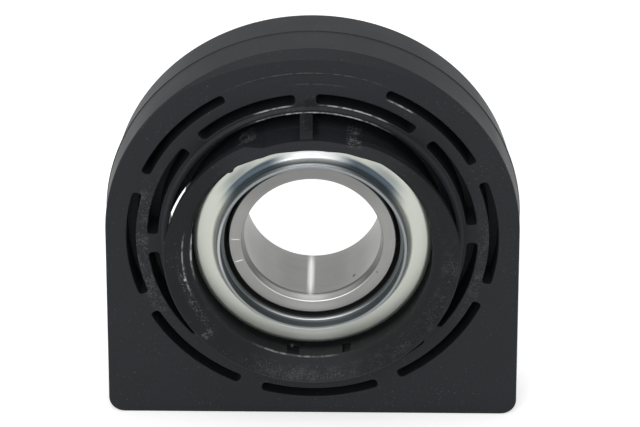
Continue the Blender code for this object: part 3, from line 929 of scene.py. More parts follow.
@dataclass(frozen=True)
class ZincFinish(Finish):
    """Zinc plate, satin on the flat annulus and smoother where the neck was drawn, with painted shade on the
    neck's rim and inner wall and painted dark and bright reflections.
    """

    satin_radius: float = 49.0 * MM
    bright_radius: float = 48.0 * MM
    bright_roughness: float = 0.36
    fillet_radius: float = 47.8 * MM
    rim_radius: float = 45.5 * MM
    wall_radius: float = 43.9 * MM
    edge_ease: float = 0.25 * MM
    neck_metallic: float = 0.5
    # Colours of the painted shade on the neck's rim and inner wall, of painted dark reflections and a stain,
    # and of painted bright reflections.
    rim: Colour = (0.25, 0.27, 0.28)
    wall: Colour = (0.10, 0.115, 0.12)
    shade: Colour = (0.055, 0.085, 0.115)
    glow: Colour = (0.95, 0.97, 0.98)
    shades: tuple[WornZone, ...] = ()
    glows: tuple[WornZone, ...] = ()

    def material(self, effects: Effects) -> bpy.types.Material:
        """Build the plated sheet's material.

        Args:
            effects: The shared shader groups.

        Returns:
            The material.
        """
        material, graph, shader = self.begin()
        radius = graph.group(effects.polar).outputs["Radius"]
        satin = graph.span(radius, self.bright_radius, self.satin_radius)
        cloud = graph.group(effects.mottle, Scale=70.0, Detail=4.0).outputs["Change"]
        lines = graph.group(effects.turning, Across=2500.0, Along=1900.0, Round=0.015).outputs["Lines"]
        level = graph.math("ADD", graph.math("MULTIPLY", cloud, 0.5), 0.5, clamp=True)
        flat = graph.mix(level, self.toned(0.94), self.toned(1.05))
        ease = self.edge_ease
        # Painted shade: the neck's rim and its inner wall are darker than the annulus.
        on_wall = graph.span(radius, self.wall_radius - ease, self.wall_radius + ease, 1.0, 0.0)
        on_rim = graph.span(radius, self.rim_radius - ease, self.rim_radius + ease, 1.0, 0.0)
        colour = graph.mix(on_rim, flat, self.streaked(graph, lines, self.rim))
        colour = graph.mix(on_wall, colour, self.streaked(graph, lines, self.wall))
        # Painted dark reflections and a stain, then painted bright reflections.
        colour = graph.mix(gather(graph, effects, self.shades), colour, (*self.shade, 1.0))
        colour = graph.mix(gather(graph, effects, self.glows), colour, (*self.glow, 1.0))
        graph.feed(shader.inputs["Base Color"], colour)
        rough = graph.span(satin, 0.0, 1.0, self.bright_roughness, self.roughness, "LINEAR")
        graph.feed(shader.inputs["Roughness"], graph.math("ADD", rough, graph.math("MULTIPLY", cloud, 0.10)))
        metal = graph.span(radius, self.fillet_radius - 2 * ease, self.fillet_radius + 2 * ease,
                           self.neck_metallic, self.metallic)
        graph.feed(shader.inputs["Metallic"], metal)
        raised = graph.math("SUBTRACT", lines, 0.5)
        height = graph.math("MULTIPLY", raised, graph.math("SUBTRACT", 1.15, satin))
        graph.feed(shader.inputs["Normal"], graph.bump(height, 0.25, 0.05 * MM))
        return material

    @staticmethod
    def streaked(graph: Graph, lines: Socket, colour: Colour) -> Socket:
        """Return a colour that is lighter and darker along the drawing lines.

        Args:
            graph: The material's graph.
            lines: The mask of the lines.
            colour: The middle colour.

        Returns:
            The streaked colour.
        """
        low, high = (tuple(part * factor for part in colour) + (1.0,) for factor in (0.8, 1.2))
        return graph.mix(lines, low, high)


@dataclass(frozen=True)
class GroundSteelFinish(Finish):
    """Ground bearing steel with fine lines round the axis and a few cross marks, with painted shade and
    painted highlights.
    """

    across: float = 9000.0
    along: float = 2600.0
    line_depth: float = 0.35
    darks: tuple[WornZone, ...] = ()
    lights: tuple[WornZone, ...] = ()

    def material(self, effects: Effects) -> bpy.types.Material:
        """Build the ground steel's material.

        Args:
            effects: The shared shader groups.

        Returns:
            The material.
        """
        material, graph, shader = self.begin()
        turning = graph.group(effects.turning, Across=self.across, Along=self.along, Round=0.03)
        lines = turning.outputs["Lines"]
        cloud = graph.group(effects.mottle, Scale=90.0, Detail=4.0).outputs["Change"]
        specks = graph.group(effects.specks, Scale=1500.0, Amount=0.1, Patch_Scale=80.0).outputs["Mask"]
        level = graph.math("ADD", lines, graph.math("MULTIPLY", cloud, 0.4), clamp=True)
        tone = graph.mix(level, self.toned(0.78), self.toned(1.18))
        colour = graph.mix(graph.math("MULTIPLY", specks, 0.6), tone, self.toned(0.35))
        # Painted shade on the lead-in, bore and face, and two small dark marks.
        colour = graph.mix(gather(graph, effects, self.darks), colour, self.toned(0.22))
        # Painted highlights on the face, lead-in and bore, and two pale cross marks.
        colour = graph.mix(gather(graph, effects, self.lights), colour, self.toned(3.0))
        graph.feed(shader.inputs["Base Color"], colour)
        rough = graph.math("ADD", graph.math("MULTIPLY", lines, 0.16), self.roughness - 0.08)
        graph.feed(shader.inputs["Roughness"], rough)
        graph.feed(shader.inputs["Normal"], graph.bump(lines, self.line_depth, 0.02 * MM))
        return material


@dataclass(frozen=True)
class PlainFinish(Finish):
    """A hidden piece's finish: slight clouding of colour and roughness over a fine grain."""

    grain: float = 900.0
    gloss: float = 0.5

    def material(self, effects: Effects) -> bpy.types.Material:
        """Build the material.

        Args:
            effects: The shared shader groups.

        Returns:
            The material.
        """
        material, graph, shader = self.begin()
        shader.inputs["Specular IOR Level"].default_value = self.gloss
        cloud = graph.group(effects.mottle, Scale=120.0, Detail=4.0).outputs["Change"]
        grain = graph.group(effects.mottle, Scale=self.grain, Detail=2.0).outputs["Change"]
        level = graph.math("ADD", cloud, 0.5, clamp=True)
        graph.feed(shader.inputs["Base Color"], graph.mix(level, self.toned(0.8), self.toned(1.2)))
        rough = graph.math("ADD", graph.math("MULTIPLY", cloud, 0.2), self.roughness)
        graph.feed(shader.inputs["Roughness"], rough)
        graph.feed(shader.inputs["Normal"], graph.bump(grain, 0.2, 0.05 * MM))
        return material


@dataclass(frozen=True)
class Backdrop:
    """Pale floor that keeps the shadow, and shows white to the camera elsewhere."""

    colour: tuple[float, float, float, float] = (0.9, 0.9, 0.9, 1.0)
    glow: float = 0.45

    def material(self) -> bpy.types.Material:
        """Build the floor's material.

        Returns:
            The material.
        """
        material = bpy.data.materials.new("pale_floor")
        material.use_nodes = True
        graph = Graph(material.node_tree)
        shader = material.node_tree.nodes["Principled BSDF"]
        shader.inputs["Base Color"].default_value = self.colour
        shader.inputs["Roughness"].default_value = 0.9
        shader.inputs["Specular IOR Level"].default_value = 0.0
        level = graph.math("MULTIPLY", graph.white_to_eye(), self.glow)
        graph.feed(shader.inputs["Emission Strength"], level)
        shader.inputs["Emission Color"].default_value = (1.0, 1.0, 1.0, 1.0)
        return material


@dataclass
class Cushion:
    """The one-piece rubber cushion: horseshoe block, slotted web, groove, boss, flange and gusset."""

    datum: Datum
    pattern: RingPattern
    crown_rise: float = 3.5 * MM
    block_side: float = 98.6 * MM
    foot_radius: float = 7.5 * MM
    front_edge: float = 0.8 * MM
    rear_edge: float = 2.4 * MM
    rear_draft: float = 2.8 * MM
    rear_lift: float = 2.1 * MM
    seam_width: float = 0.7 * MM
    seam_height: float = 0.3 * MM
    lip_tuck: float = 0.3 * MM
    boss_wall: float = 5.3 * MM
    boss_rear_wall: float = 2.2 * MM
    boss_taper: float = 1.4 * MM
    flange_slope: float = 1.4 * MM
    flange_thickness: float = 4.0 * MM
    groove_width: float = 6.1 * MM
    groove_floor: float = 12.0 * MM
    groove_draft: float = 0.7 * MM
    web_bead: float = 1.0 * MM
    hub_overlap: float = 4.8 * MM
    flange_reach: float = 8.4 * MM
    lip_drop: float = 1.85
    fit_gap: float = 0.3 * MM
    pattern_turn: float = 2.4
    slot_pitch: float = 45.0
    slot_span: float = 37.5
    inner_slot_offset: float = 4.7 * MM
    inner_slot_width: float = 5.1 * MM
    slot_band: float = 5.6 * MM
    outer_slot_width: float = 4.4 * MM
    slot_corner: float = 1.7 * MM
    slot_steps: int = 20
    corner_steps: int = 4
    slot_skin: float = 4.0 * MM
    slot_rim: float = 0.55 * MM
    recess_depth: float = 1.0 * MM
    recess_rise: float = 1.3 * MM
    recess_span: float = 50.0
    recess_fade: float = 9.0
    recess_lip: float = 0.15 * MM
    recess_steps: int = 60
    bevel_radius: float = 115.3 * MM
    bevel_drop: float = 5.1 * MM
    bevel_depth: float = 2.1 * MM
    bevel_spread: float = 44.0
    opening_span: float = 37.5
    opening_ramp: float = 7.0
    left_trim: tuple[float, float] = (4.4 * MM, 6.4 * MM)
    left_trim_end: float = 166.0
    left_trim_return: float = 10.0
    right_trim: float = 2.4 * MM
    right_trim_end: float = -5.0
    trim_clearance: float = 8.0 * MM
    trim_steps: int = 28
    hole_start: float = 157.5
    hole_full: float = 177.5
    hole_end: float = 194.0
    hole_tip: float = 0.3 * MM
    hole_overlap: float = 0.2 * MM
    hole_reach: float = 1.6 * MM
    hole_steps: int = 24
    rib_width: float = 6.0 * MM
    rib_sink: float = 1.1 * MM
    lip_trims: tuple[tuple[float, float, float], ...] = (
        (38.0, 32.0, 2.7 * MM), (145.0, 31.0, 3.1 * MM), (91.0, 19.0, -1.0 * MM), (130.6, 2.4, -2.2 * MM))
    lip_reach: Point = (1.6 * MM, 3.0 * MM)
    tear_angle: float = 130.0
    tear_half: float = 32.0
    tear_grain: float = 4.5 * MM
    tear_depths: Point = (0.12, 0.45)
    notch_depth: float = 2.2 * MM
    notch_corner: float = 0.5 * MM
    notch_insets: Point = (2.0 * MM, 1.5 * MM)
    notch_spans: tuple[Point, ...] = ((258.0, 263.7), (284.5, 288.5))
    crown_steps: int = 128
    hub_steps: int = 288

    def __post_init__(self) -> None:
        """Work out the radii that the sizes give."""
        self.bore = self.datum.shell_radius + self.fit_gap
        self.crease = self.bore + self.boss_wall
        self.flange = self.crease + self.flange_reach
        self.groove_out = self.crease + self.groove_width
        self.hub = self.groove_out + self.hub_overlap
        self.inner_slot = self.groove_out + self.inner_slot_offset
        self.outer_slot = self.inner_slot + self.inner_slot_width + self.slot_band
        self.lip_y = self.datum.flange_tip - self.lip_drop * self.flange_slope
        self.bevel_centre = self.crown_rise + self.block_side - self.bevel_drop - self.bevel_radius

    def horseshoe(self, y: float, side_inset: float, base_inset: float, lift: float) -> list[Vector]:
        """Outline the block at one depth.

        Args:
            y: Depth of the outline.
            side_inset: How far the sides and crown are drawn in.
            base_inset: How far the base is raised.
            lift: How far the crown's centre is raised.

        Returns:
            Points round the outline, from the right foot over the crown to the left foot.
        """
        half = self.block_side - side_inset
        foot_z = -self.datum.axis_z + base_inset + self.foot_radius
        foot_x = half - self.foot_radius
        right = []
        for step in range(9):
            x, z = place(self.foot_radius, -90.0 + 90.0 * step / 8)
            right.append((foot_x + x, foot_z + z))
        crown = []
        for step in range(self.crown_steps + 1):
            x, z = place(half, 180.0 * step / self.crown_steps)
            crown.append((x, self.crown_rise + lift + z))
        left = [(-x, z) for x, z in reversed(right)]
        return [Vector((x, y, z)) for x, z in right + crown + left]

    def block(self) -> bpy.types.Object:
        """Return the block, lofted from its front edge over the seam to its rounded rear edge.

        Returns:
            The block.
        """
        half = self.datum.block_half
        front = round_over(self.front_edge, 4)
        loops = [self.horseshoe(-half + depth, inset, inset, 0.0) for inset, depth in front]
        loops.append(self.horseshoe(-self.seam_width, 0.0, 0.0, 0.0))
        for y, height in ((-0.5, 0.0), (-0.2, 1.0), (0.2, 1.0), (0.5, 0.0)):
            loops.append(self.horseshoe(y * self.seam_width, -height * self.seam_height, 0.0, 0.0))
        for inset, depth in reversed(round_over(self.rear_edge, 6)):
            base = inset * self.front_edge / self.rear_edge
            loops.append(self.horseshoe(half - depth, self.rear_draft + inset, base, self.rear_lift))
        return Former.lofted("rubber_cushion_form", loops)

    def hub_section(self) -> list[Point]:
        """Return the section of boss, flange, groove, web rim and rear collar.

        Returns:
            Points of radius and Y.
        """
        half = self.datum.block_half
        lip = self.bore - self.lip_tuck
        wall = self.bore + 2 * self.lip_tuck
        flange_y = self.datum.flange_tip
        crease_y = self.lip_y + self.flange_slope
        floor = self.groove_floor / 2
        rear = self.bore + self.boss_rear_wall
        bead = self.web_bead
        collar = self.datum.collar_tip
        thick = self.flange_thickness
        corners = (
            Corner(self.bore, collar, 0.7 * MM), Corner(self.bore, -SHELL_FACE),
            Corner(wall, -SHELL_FACE - bead), Corner(wall, -self.lip_y + 2.2 * bead, 0.4 * MM),
            Corner(lip, -self.lip_y + 0.9 * bead, 0.3 * MM), Corner(lip, -self.lip_y, 0.45 * MM),
            Corner(self.crease, -crease_y, 1.5 * MM), Corner(self.flange, -flange_y, 1.3 * MM),
            Corner(self.flange - 0.6 * bead, -flange_y + 2.9 * bead, 0.9 * MM),
            Corner(self.flange - 3.0 * bead, -flange_y + thick, 1.5 * MM),
            Corner(self.crease, -flange_y + 1.7 * thick, 3.0 * MM), Corner(self.crease, -floor, 1.2 * MM),
            Corner(self.groove_out, -floor, 1.2 * MM), Corner(self.groove_out, -half - bead, 0.75 * MM),
            Corner(self.groove_out + 2.0 * bead, -half - bead, 0.75 * MM),
            Corner(self.groove_out + 3.1 * bead, -half - 0.3 * bead, 0.6 * MM),
            Corner(self.hub, -half + bead), Corner(self.hub, half - bead),
            Corner(self.groove_out + 2.8 * bead, half + 0.5 * bead, 0.6 * MM),
            Corner(self.groove_out + self.groove_draft, half + 0.5 * bead, 0.6 * MM),
            Corner(self.groove_out, floor, 1.2 * MM), Corner(self.crease - self.boss_taper, floor, 1.2 * MM),
            Corner(rear, half, 1.5 * MM), Corner(rear, collar, 0.8 * MM),
        )
        return eased(corners, 4)

    def lip_trim(self, degrees: float) -> float:
        """Return how far the lip's edge is trimmed back outwards at an angle, or left proud.

        Args:
            degrees: The angle round the axis.

        Returns:
            The change of radius, negative where it stands proud.
        """
        total = 0.0
        for centre, half_angle, height in self.lip_trims:
            inside = 1.0 - abs(degrees - centre) / half_angle
            total += height * soft_step(1.6 * inside)
        return total

    def hub_form(self) -> bpy.types.Object:
        """Return the turned hub, with its lip unevenly trimmed and a little ragged.

        Returns:
            The hub.
        """
        form = Former.turned("hub_form", self.hub_section(), self.hub_steps)
        lip = self.bore - self.lip_tuck
        for vertex in form.data.vertices:
            point = vertex.co
            radius = math.hypot(point.x, point.z)
            near = soft_step(1.0 - abs(radius - lip) / self.lip_reach[0])
            near *= soft_step(1.0 - abs(point.y + self.lip_y) / self.lip_reach[1])
            if near > 0.0:
                angle = math.degrees(math.atan2(point.z, point.x)) % 360.0
                torn = soft_step(1.0 - abs(angle - self.tear_angle) / self.tear_half)
                rough = noise.noise(Vector((point.x, 0.0, point.z)) / self.tear_grain) * MM
                ragged = (self.tear_depths[0] + self.tear_depths[1] * torn) * rough
                scale = 1.0 + near * (ragged + self.lip_trim(angle)) / radius
                point.x *= scale
                point.z *= scale
        return form

    def seat_form(self) -> bpy.types.Object:
        """Return the round tool that clears the block where the hub goes.

        Returns:
            The tool.
        """
        radius = self.groove_out + self.hub_overlap / 2
        reach = 2 * self.datum.block_half
        outline = [place(radius, 360.0 * step / self.hub_steps) for step in range(self.hub_steps)]
        return Former.prism("seat_form", outline, -reach, reach)

    def slot_form(self, name: str, low: float, high: float) -> bpy.types.Object:
        """Return one slot's cutter at angle 0, open to both faces, with flared rims.

        Args:
            name: Name of the object.
            low: Radius of the slot's inner side.
            high: Radius of its outer side.

        Returns:
            The cutter, as two closed bodies.
        """
        half = self.datum.block_half
        bm = bmesh.new()
        depths = [(0.0, self.slot_skin / 2)]
        depths += [(inset, half - depth) for inset, depth in reversed(round_over(self.slot_rim, 3))]
        depths.append((self.slot_rim, half + 2 * self.slot_rim))
        for side in Side:
            loops = []
            for grow, y in depths:
                reach = self.slot_span / 2 + math.degrees(grow / low)
                outline = sector(low - grow, high + grow, -reach, reach, self.slot_corner + grow,
                                 self.slot_steps, self.corner_steps)
                loops.append([bm.verts.new((x, side.value * y, z)) for x, z in outline])
            Former.skin(bm, loops, False)
        return Former.wrap(name, bm)

    def slots(self) -> list[bpy.types.Object]:
        """Return the cutters of both staggered rings of slots.

        Returns:
            The inner ring's and the outer ring's.
        """
        inner = self.slot_form("inner_slot_form", self.inner_slot, self.inner_slot + self.inner_slot_width)
        outer = self.slot_form("outer_slot_form", self.outer_slot, self.outer_slot + self.outer_slot_width)
        first = self.pattern_turn + self.slot_pitch / 2
        return [self.pattern.repeat("inner_slots", inner, 8, self.slot_pitch, first),
                self.pattern.repeat("outer_slots", outer, 8, self.slot_pitch, self.pattern_turn, left_out=2)]

    def recess(self) -> bpy.types.Object:
        """Return the tool for the shallow recess, deepest at its top and fading out at both ends.

        Returns:
            The tool.
        """
        half = self.datum.block_half
        low, high = self.outer_slot, self.outer_slot + self.outer_slot_width + self.recess_rise
        front = -half - 4 * self.recess_depth
        loops = []
        for step in range(self.recess_steps + 1):
            across = step / self.recess_steps - 0.5
            inside = self.recess_span / 2 - abs(across) * self.recess_span
            share = soft_step(inside / self.recess_fade)
            floor = -half - self.recess_lip + share * (self.recess_depth + self.recess_lip)
            turn = 90.0 + self.pattern_turn + across * self.recess_span
            section = ((low, -half - self.recess_lip), (high, floor), (high + 0.2 * MM, front), (low, front))
            loop = []
            for radius, y in section:
                x, z = place(radius, turn)
                loop.append(Vector((x, y, z)))
            loops.append(loop)
        return Former.lofted("recess_form", loops)

    def crown_bevel(self) -> bpy.types.Object:
        """Return the tool for the crescent bevel on the crown's front edge.

        Returns:
            The tool.
        """
        half = self.datum.block_half
        slope = self.bevel_depth / self.bevel_drop
        near_y, far_y = -half - self.bevel_depth, -half + 4 * self.bevel_depth
        near_r = self.bevel_radius + (near_y + half) / slope
        far_r = self.bevel_radius + (far_y + half) / slope
        outer = far_r + self.bevel_drop
        section = [(near_r, near_y), (outer, near_y), (outer, far_y), (far_r, far_y)]
        return Former.turned("bevel_form", section, self.crown_steps, 90.0 - self.bevel_spread,
                             2 * self.bevel_spread, self.bevel_centre)

    def on_bevel_foot(self, point: Vector) -> bool:
        """Return whether a point is on the line where the crown bevel meets the front face.

        Args:
            point: A point of the cushion, before it is lifted.

        Returns:
            Whether it lies there.
        """
        radius = math.hypot(point.x, point.z - self.bevel_centre)
        on_arc = abs(radius - self.bevel_radius) < 0.05 * MM
        return on_arc and abs(point.y + self.datum.block_half) < 0.02 * MM

    @staticmethod
    def along(runs: Sequence[tuple[float, float, float, float]], steps: int) -> list[Point]:
        """Return an outline whose radius and angle run evenly along each run.

        Args:
            runs: First and last radius, then first and last angle of each run.
            steps: Straight pieces in each run.

        Returns:
            Points of X and Z, without repeats.
        """
        points: list[Point] = []
        for from_r, to_r, first, last in runs:
            for step in range(steps + 1):
                point = place(blend(from_r, to_r, step / steps), blend(first, last, step / steps))
                if not points or math.dist(point, points[-1]) > 1e-6:
                    points.append(point)
        return points

    def flange_trim(self) -> bpy.types.Object:
        """Return the tool that opens the flange over the boss and trims it away on both sides.

        Returns:
            The tool.
        """
        right_open = 90.0 + self.pattern_turn - self.opening_span / 2
        left_open = right_open + self.opening_span
        low, full = self.crease - self.fit_gap, self.flange + self.fit_gap
        start, finish = (self.crease + height for height in self.left_trim)
        left_end = self.left_trim_end + self.left_trim_return
        outer = self.flange + self.trim_clearance
        outline = self.along((
            (full, self.crease + self.right_trim, self.right_trim_end, right_open - self.opening_ramp),
            (low, low, right_open, left_open),
            (start, finish, left_open + self.opening_ramp, self.left_trim_end),
            (full, outer, left_end, left_end),
            (outer, outer, left_end - self.opening_ramp, self.right_trim_end)), self.trim_steps)
        near = -self.datum.flange_tip - self.flange_thickness
        far = -self.datum.block_half - 2 * self.web_bead
        return Former.prism("flange_trim_form", outline, near, far)

    def web_hole(self) -> bpy.types.Object:
        """Return the tool for the crescent-shaped opening in the groove floor at the left.

        Returns:
            The tool.
        """
        reach = self.groove_floor / 2 + self.hole_reach
        low, high = self.crease - self.hole_overlap, self.groove_out + self.hole_overlap
        outline = self.along((
            (low, low, self.hole_start, self.hole_end), (high, high, self.hole_end, self.hole_full),
            (high, low + self.hole_tip, self.hole_full, self.hole_start)), self.hole_steps)
        return Former.prism("web_hole_form", outline, -reach, reach)

    def rib(self, name: str, degrees: float, outline: Sequence[Point]) -> bpy.types.Object:
        """Return a flat rib whose outline of radius and Y points stands across the groove.

        Args:
            name: The object's name.
            degrees: Angle at which the rib stands.
            outline: Points of radius and Y.

        Returns:
            The rib.
        """
        loops = []
        for side in (-0.5, 0.5):
            loop = []
            for radius, y in outline:
                x, z = place(radius, degrees)
                dx, dz = place(side * self.rib_width, degrees + 90.0)
                loop.append(Vector((x + dx, y, z + dz)))
            loops.append(loop)
        return Former.lofted(name, loops)

    def ribs(self) -> list[bpy.types.Object]:
        """Return the ribs across the groove, the top one running forward as a gusset.

        Returns:
            The front and rear rib of each place.
        """
        half = self.datum.block_half
        high = self.groove_out + self.rib_sink
        low_front = self.crease - self.rib_sink
        low_rear = self.bore + self.boss_rear_wall - self.rib_sink
        start = self.groove_floor / 2 - self.rib_sink
        reach = half - 3 * self.web_bead
        gusset = [(low_front, -start), (high, -start), (high, -half + 2 * self.web_bead),
                  (self.crease + self.rib_sink / 2, -self.lip_y), (low_front, -self.lip_y - self.fit_gap)]
        front = [(low_front, -start), (high, -start), (high, -reach), (low_front, -reach)]
        rear = [(low_rear, start), (high, start), (high, reach), (low_rear, reach)]
        made = []
        for place_at in (90.0, 210.0, 330.0):
            angle = place_at + self.pattern_turn
            made.append(self.rib("front_rib", angle, gusset if place_at == 90.0 else front))
            made.append(self.rib("rear_rib", angle, rear))
        return made

    def notches(self) -> list[bpy.types.Object]:
        """Return the tools for the two notches beside the pad inside the lip.

        Returns:
            The two tools.
        """
        low = self.bore - self.notch_depth
        high = self.bore + 2 * self.lip_tuck + self.notch_depth
        near, far = -self.lip_y + self.notch_insets[0], -SHELL_FACE - self.notch_insets[1]
        made = []
        for start, end in self.notch_spans:
            outline = sector(low, high, start, end, self.notch_corner, 6, 3)
            made.append(Former.prism("notch_form", outline, near, far))
        return made

    def build(self) -> bpy.types.Object:
        """Model the whole moulding as one closed mesh.

        Returns:
            The cushion, lifted onto its base.
        """
        cushion = self.block()
        Former.combine(cushion, self.seat_form(), Join.CUT)
        Former.combine(cushion, self.hub_form(), Join.ADD)
        Former.combine(cushion, self.flange_trim(), Join.CUT)
        Former.combine(cushion, self.web_hole(), Join.CUT)
        for tool in self.ribs():
            Former.combine(cushion, tool, Join.ADD)
        for tool in self.slots() + [self.recess(), self.crown_bevel()] + self.notches():
            Former.combine(cushion, tool, Join.CUT)
        cushion.name = "moulded_cushion"
        Former.smooth(cushion, crisp=self.on_bevel_foot)
        Former.lift(cushion, self.datum.axis_z)
        return cushion


@dataclass
class HousingShell:
    """A pressed shell: skirt over the outer ring, flat annulus and drawn neck with a small rim."""

    datum: Datum
    side: Side
    bend: float = 1.0 * MM
    neck_gap: float = 1.8 * MM
    neck_wall: float = 3.2 * MM
    rim: float = 1.6 * MM
    fillet: float = 3.3 * MM
    split_gap: float = 0.3 * MM
    steps: int = 240

    def build(self) -> bpy.types.Object:
        """Return the turned shell.

        Returns:
            The shell, lifted to the shaft's height.
        """
        outer = self.datum.shell_radius
        bore = self.datum.ring_land + self.neck_gap
        neck = bore + self.neck_wall
        rim = neck - self.rim
        step = rim - bore
        tip = self.datum.shell_tip
        back = SHELL_FACE - SHEET
        corners = (
            Corner(outer, self.split_gap / 2), Corner(outer, SHELL_FACE, self.bend + SHEET),
            Corner(neck, SHELL_FACE, self.fillet), Corner(neck, tip, 0.4 * MM),
            Corner(rim, tip, 0.3 * MM), Corner(rim, SHELL_FACE, step), Corner(bore, SHELL_FACE),
            Corner(bore, back, 0.3 * MM),
            Corner(outer - SHEET, back, self.bend), Corner(outer - SHEET, self.split_gap / 2),
        )
        section = [(radius, self.side.value * y) for radius, y in eased(corners, 8)]
        shell = Former.turned(f"{self.side.word}_pressed_shell", section, self.steps)
        Former.smooth(shell, 50.0)
        Former.lift(shell, self.datum.axis_z)
        return shell


@dataclass
class Seal:
    """A rubber seal: a body held in the shell and a lip on the inner ring."""

    datum: Datum
    side: Side
    front: float = 19.7 * MM
    rear: float = 12.8 * MM
    body: float = 3.0 * MM
    lip: float = 1.0 * MM
    gap: float = 0.3 * MM
    neck_gap: float = 1.8 * MM
    chamfer: float = 1.3 * MM
    steps: int = 180

    def build(self) -> bpy.types.Object:
        """Return the turned seal.

        Returns:
            The seal, lifted to the shaft's height.
        """
        out = self.datum.shell_radius - SHEET - self.gap
        neck = self.datum.ring_land + self.neck_gap
        lip_r = self.datum.ring_land + self.gap
        corners = (
            Corner(out, self.rear, 0.2 * MM), Corner(out, self.front - self.chamfer, 0.3 * MM),
            Corner(out - self.chamfer, self.front, 0.3 * MM), Corner(neck + self.lip, self.front, 0.3 * MM),
            Corner(lip_r + self.lip, self.front - 2.0 * self.lip, 0.4 * MM),
            Corner(lip_r, self.front - 2.6 * self.lip, 0.15 * MM),
            Corner(lip_r, self.front - 3.4 * self.lip, 0.15 * MM),
            Corner(neck + 3 * self.lip, self.front - self.body, 0.4 * MM),
            Corner(out - self.body, self.front - self.body, 0.3 * MM),
            Corner(out - self.body, self.rear, 0.2 * MM),
        )
        section = [(radius, self.side.value * y) for radius, y in eased(corners, 3)]
        seal = Former.turned(f"{self.side.word}_lip_seal", section, self.steps)
        Former.smooth(seal)
        Former.lift(seal, self.datum.axis_z)
        return seal


@dataclass
class InnerRing:
    """The ground inner ring: race, faces and bore with a long lead-in at the front."""

    datum: Datum
    bore: float = 32.5 * MM
    lead: float = 1.15 * MM
    lead_length: float = 4.9 * MM
    tail: float = 0.3 * MM
    chamfer: float = 0.7 * MM
    race: float = 7.444 * MM
    steps: int = 240

    def build(self) -> bpy.types.Object:
        """Return the turned ring.

        Returns:
            The ring, lifted to the shaft's height.
        """
        half, land = self.datum.ring_half, self.datum.ring_land
        reach = math.degrees(math.acos((PITCH_RADIUS - land) / self.race))
        shoulder = [Corner(self.bore + self.lead, -half, 0.35 * MM),
                    Corner(land - self.chamfer, -half, 0.25 * MM),
                    Corner(land, -half + self.chamfer, 0.25 * MM)]
        groove = []
        for step in range(25):
            turn = math.radians(blend(180.0 + reach, 180.0 - reach, step / 24))
            groove.append(Corner(PITCH_RADIUS + self.race * math.cos(turn), self.race * math.sin(turn)))
        tail = [Corner(land, half - self.chamfer, 0.25 * MM), Corner(land - self.chamfer, half, 0.25 * MM),
                Corner(self.bore + self.tail, half, 0.1 * MM), Corner(self.bore, half - self.tail, 0.1 * MM),
                Corner(self.bore, -half + self.lead_length, 0.3 * MM)]
        ring = Former.turned("ground_inner_ring", eased(shoulder + groove + tail, 4), self.steps)
        Former.smooth(ring, 25.0)
        Former.lift(ring, self.datum.axis_z)
        return ring


@dataclass
class RollingSet:
    """The balls and rivets that roll round with the cage."""

    datum: Datum
    pattern: RingPattern
    count: int = 11
    ball_radius: float = 7.144 * MM
    rivet_radius: float = 1.0 * MM
    head_radius: float = 2.0 * MM
    head_height: float = 0.9 * MM
    seat: float = 1.65 * MM

    def ball_form(self) -> bpy.types.Object:
        """Return one smooth ball on the pitch circle at angle 0.

        Returns:
            The ball.
        """
        bm = bmesh.new()
        bmesh.ops.create_icosphere(bm, subdivisions=4, radius=self.ball_radius,
                                   matrix=Matrix.Translation((PITCH_RADIUS, 0.0, 0.0)))
        return Former.wrap("ball_form", bm)

    def rivet_form(self) -> bpy.types.Object:
        """Return one rivet with two low domed heads, on the pitch circle at angle 0.

        Returns:
            The rivet.
        """
        dome = []
        for step in range(7):
            x, y = place(1.0, 90.0 * step / 6)
            dome.append((self.head_radius * x, self.seat + self.head_height * y))
        side = [(self.rivet_radius, self.seat)] + dome
        section = [(radius, -y) for radius, y in reversed(side)] + side
        bm = bmesh.new()
        loops = []
        for step in range(16):
            turn = 2 * math.pi * step / 16
            across, up = math.cos(turn), math.sin(turn)
            loops.append([bm.verts.new((PITCH_RADIUS + r * across, y, r * up)) for r, y in section])
        for near, far in zip(loops, loops[1:] + loops[:1]):
            for index in range(len(section) - 1):
                bm.faces.new((near[index], near[index + 1], far[index + 1], far[index]))
        return Former.wrap("rivet_form", bm)

    def build(self) -> dict[str, bpy.types.Object]:
        """Return the ball set and the rivet set, each as one mesh.

        Returns:
            The objects, by "balls" and "rivets".
        """
        step = 360.0 / self.count
        balls = self.pattern.repeat("ball_set", self.ball_form(), self.count, step, 90.0)
        rivets = self.pattern.repeat("cage_rivet_set", self.rivet_form(), self.count, step, 90.0 + step / 2)
        for item in (balls, rivets):
            Former.smooth(item)
            Former.lift(item, self.datum.axis_z)
        return {"balls": balls, "rivets": rivets}


@dataclass(frozen=True)
class Lamp:
    """One area light, aimed at the bearing."""

    name: str
    place: tuple[float, float, float]
    width: float
    height: float
    power: float


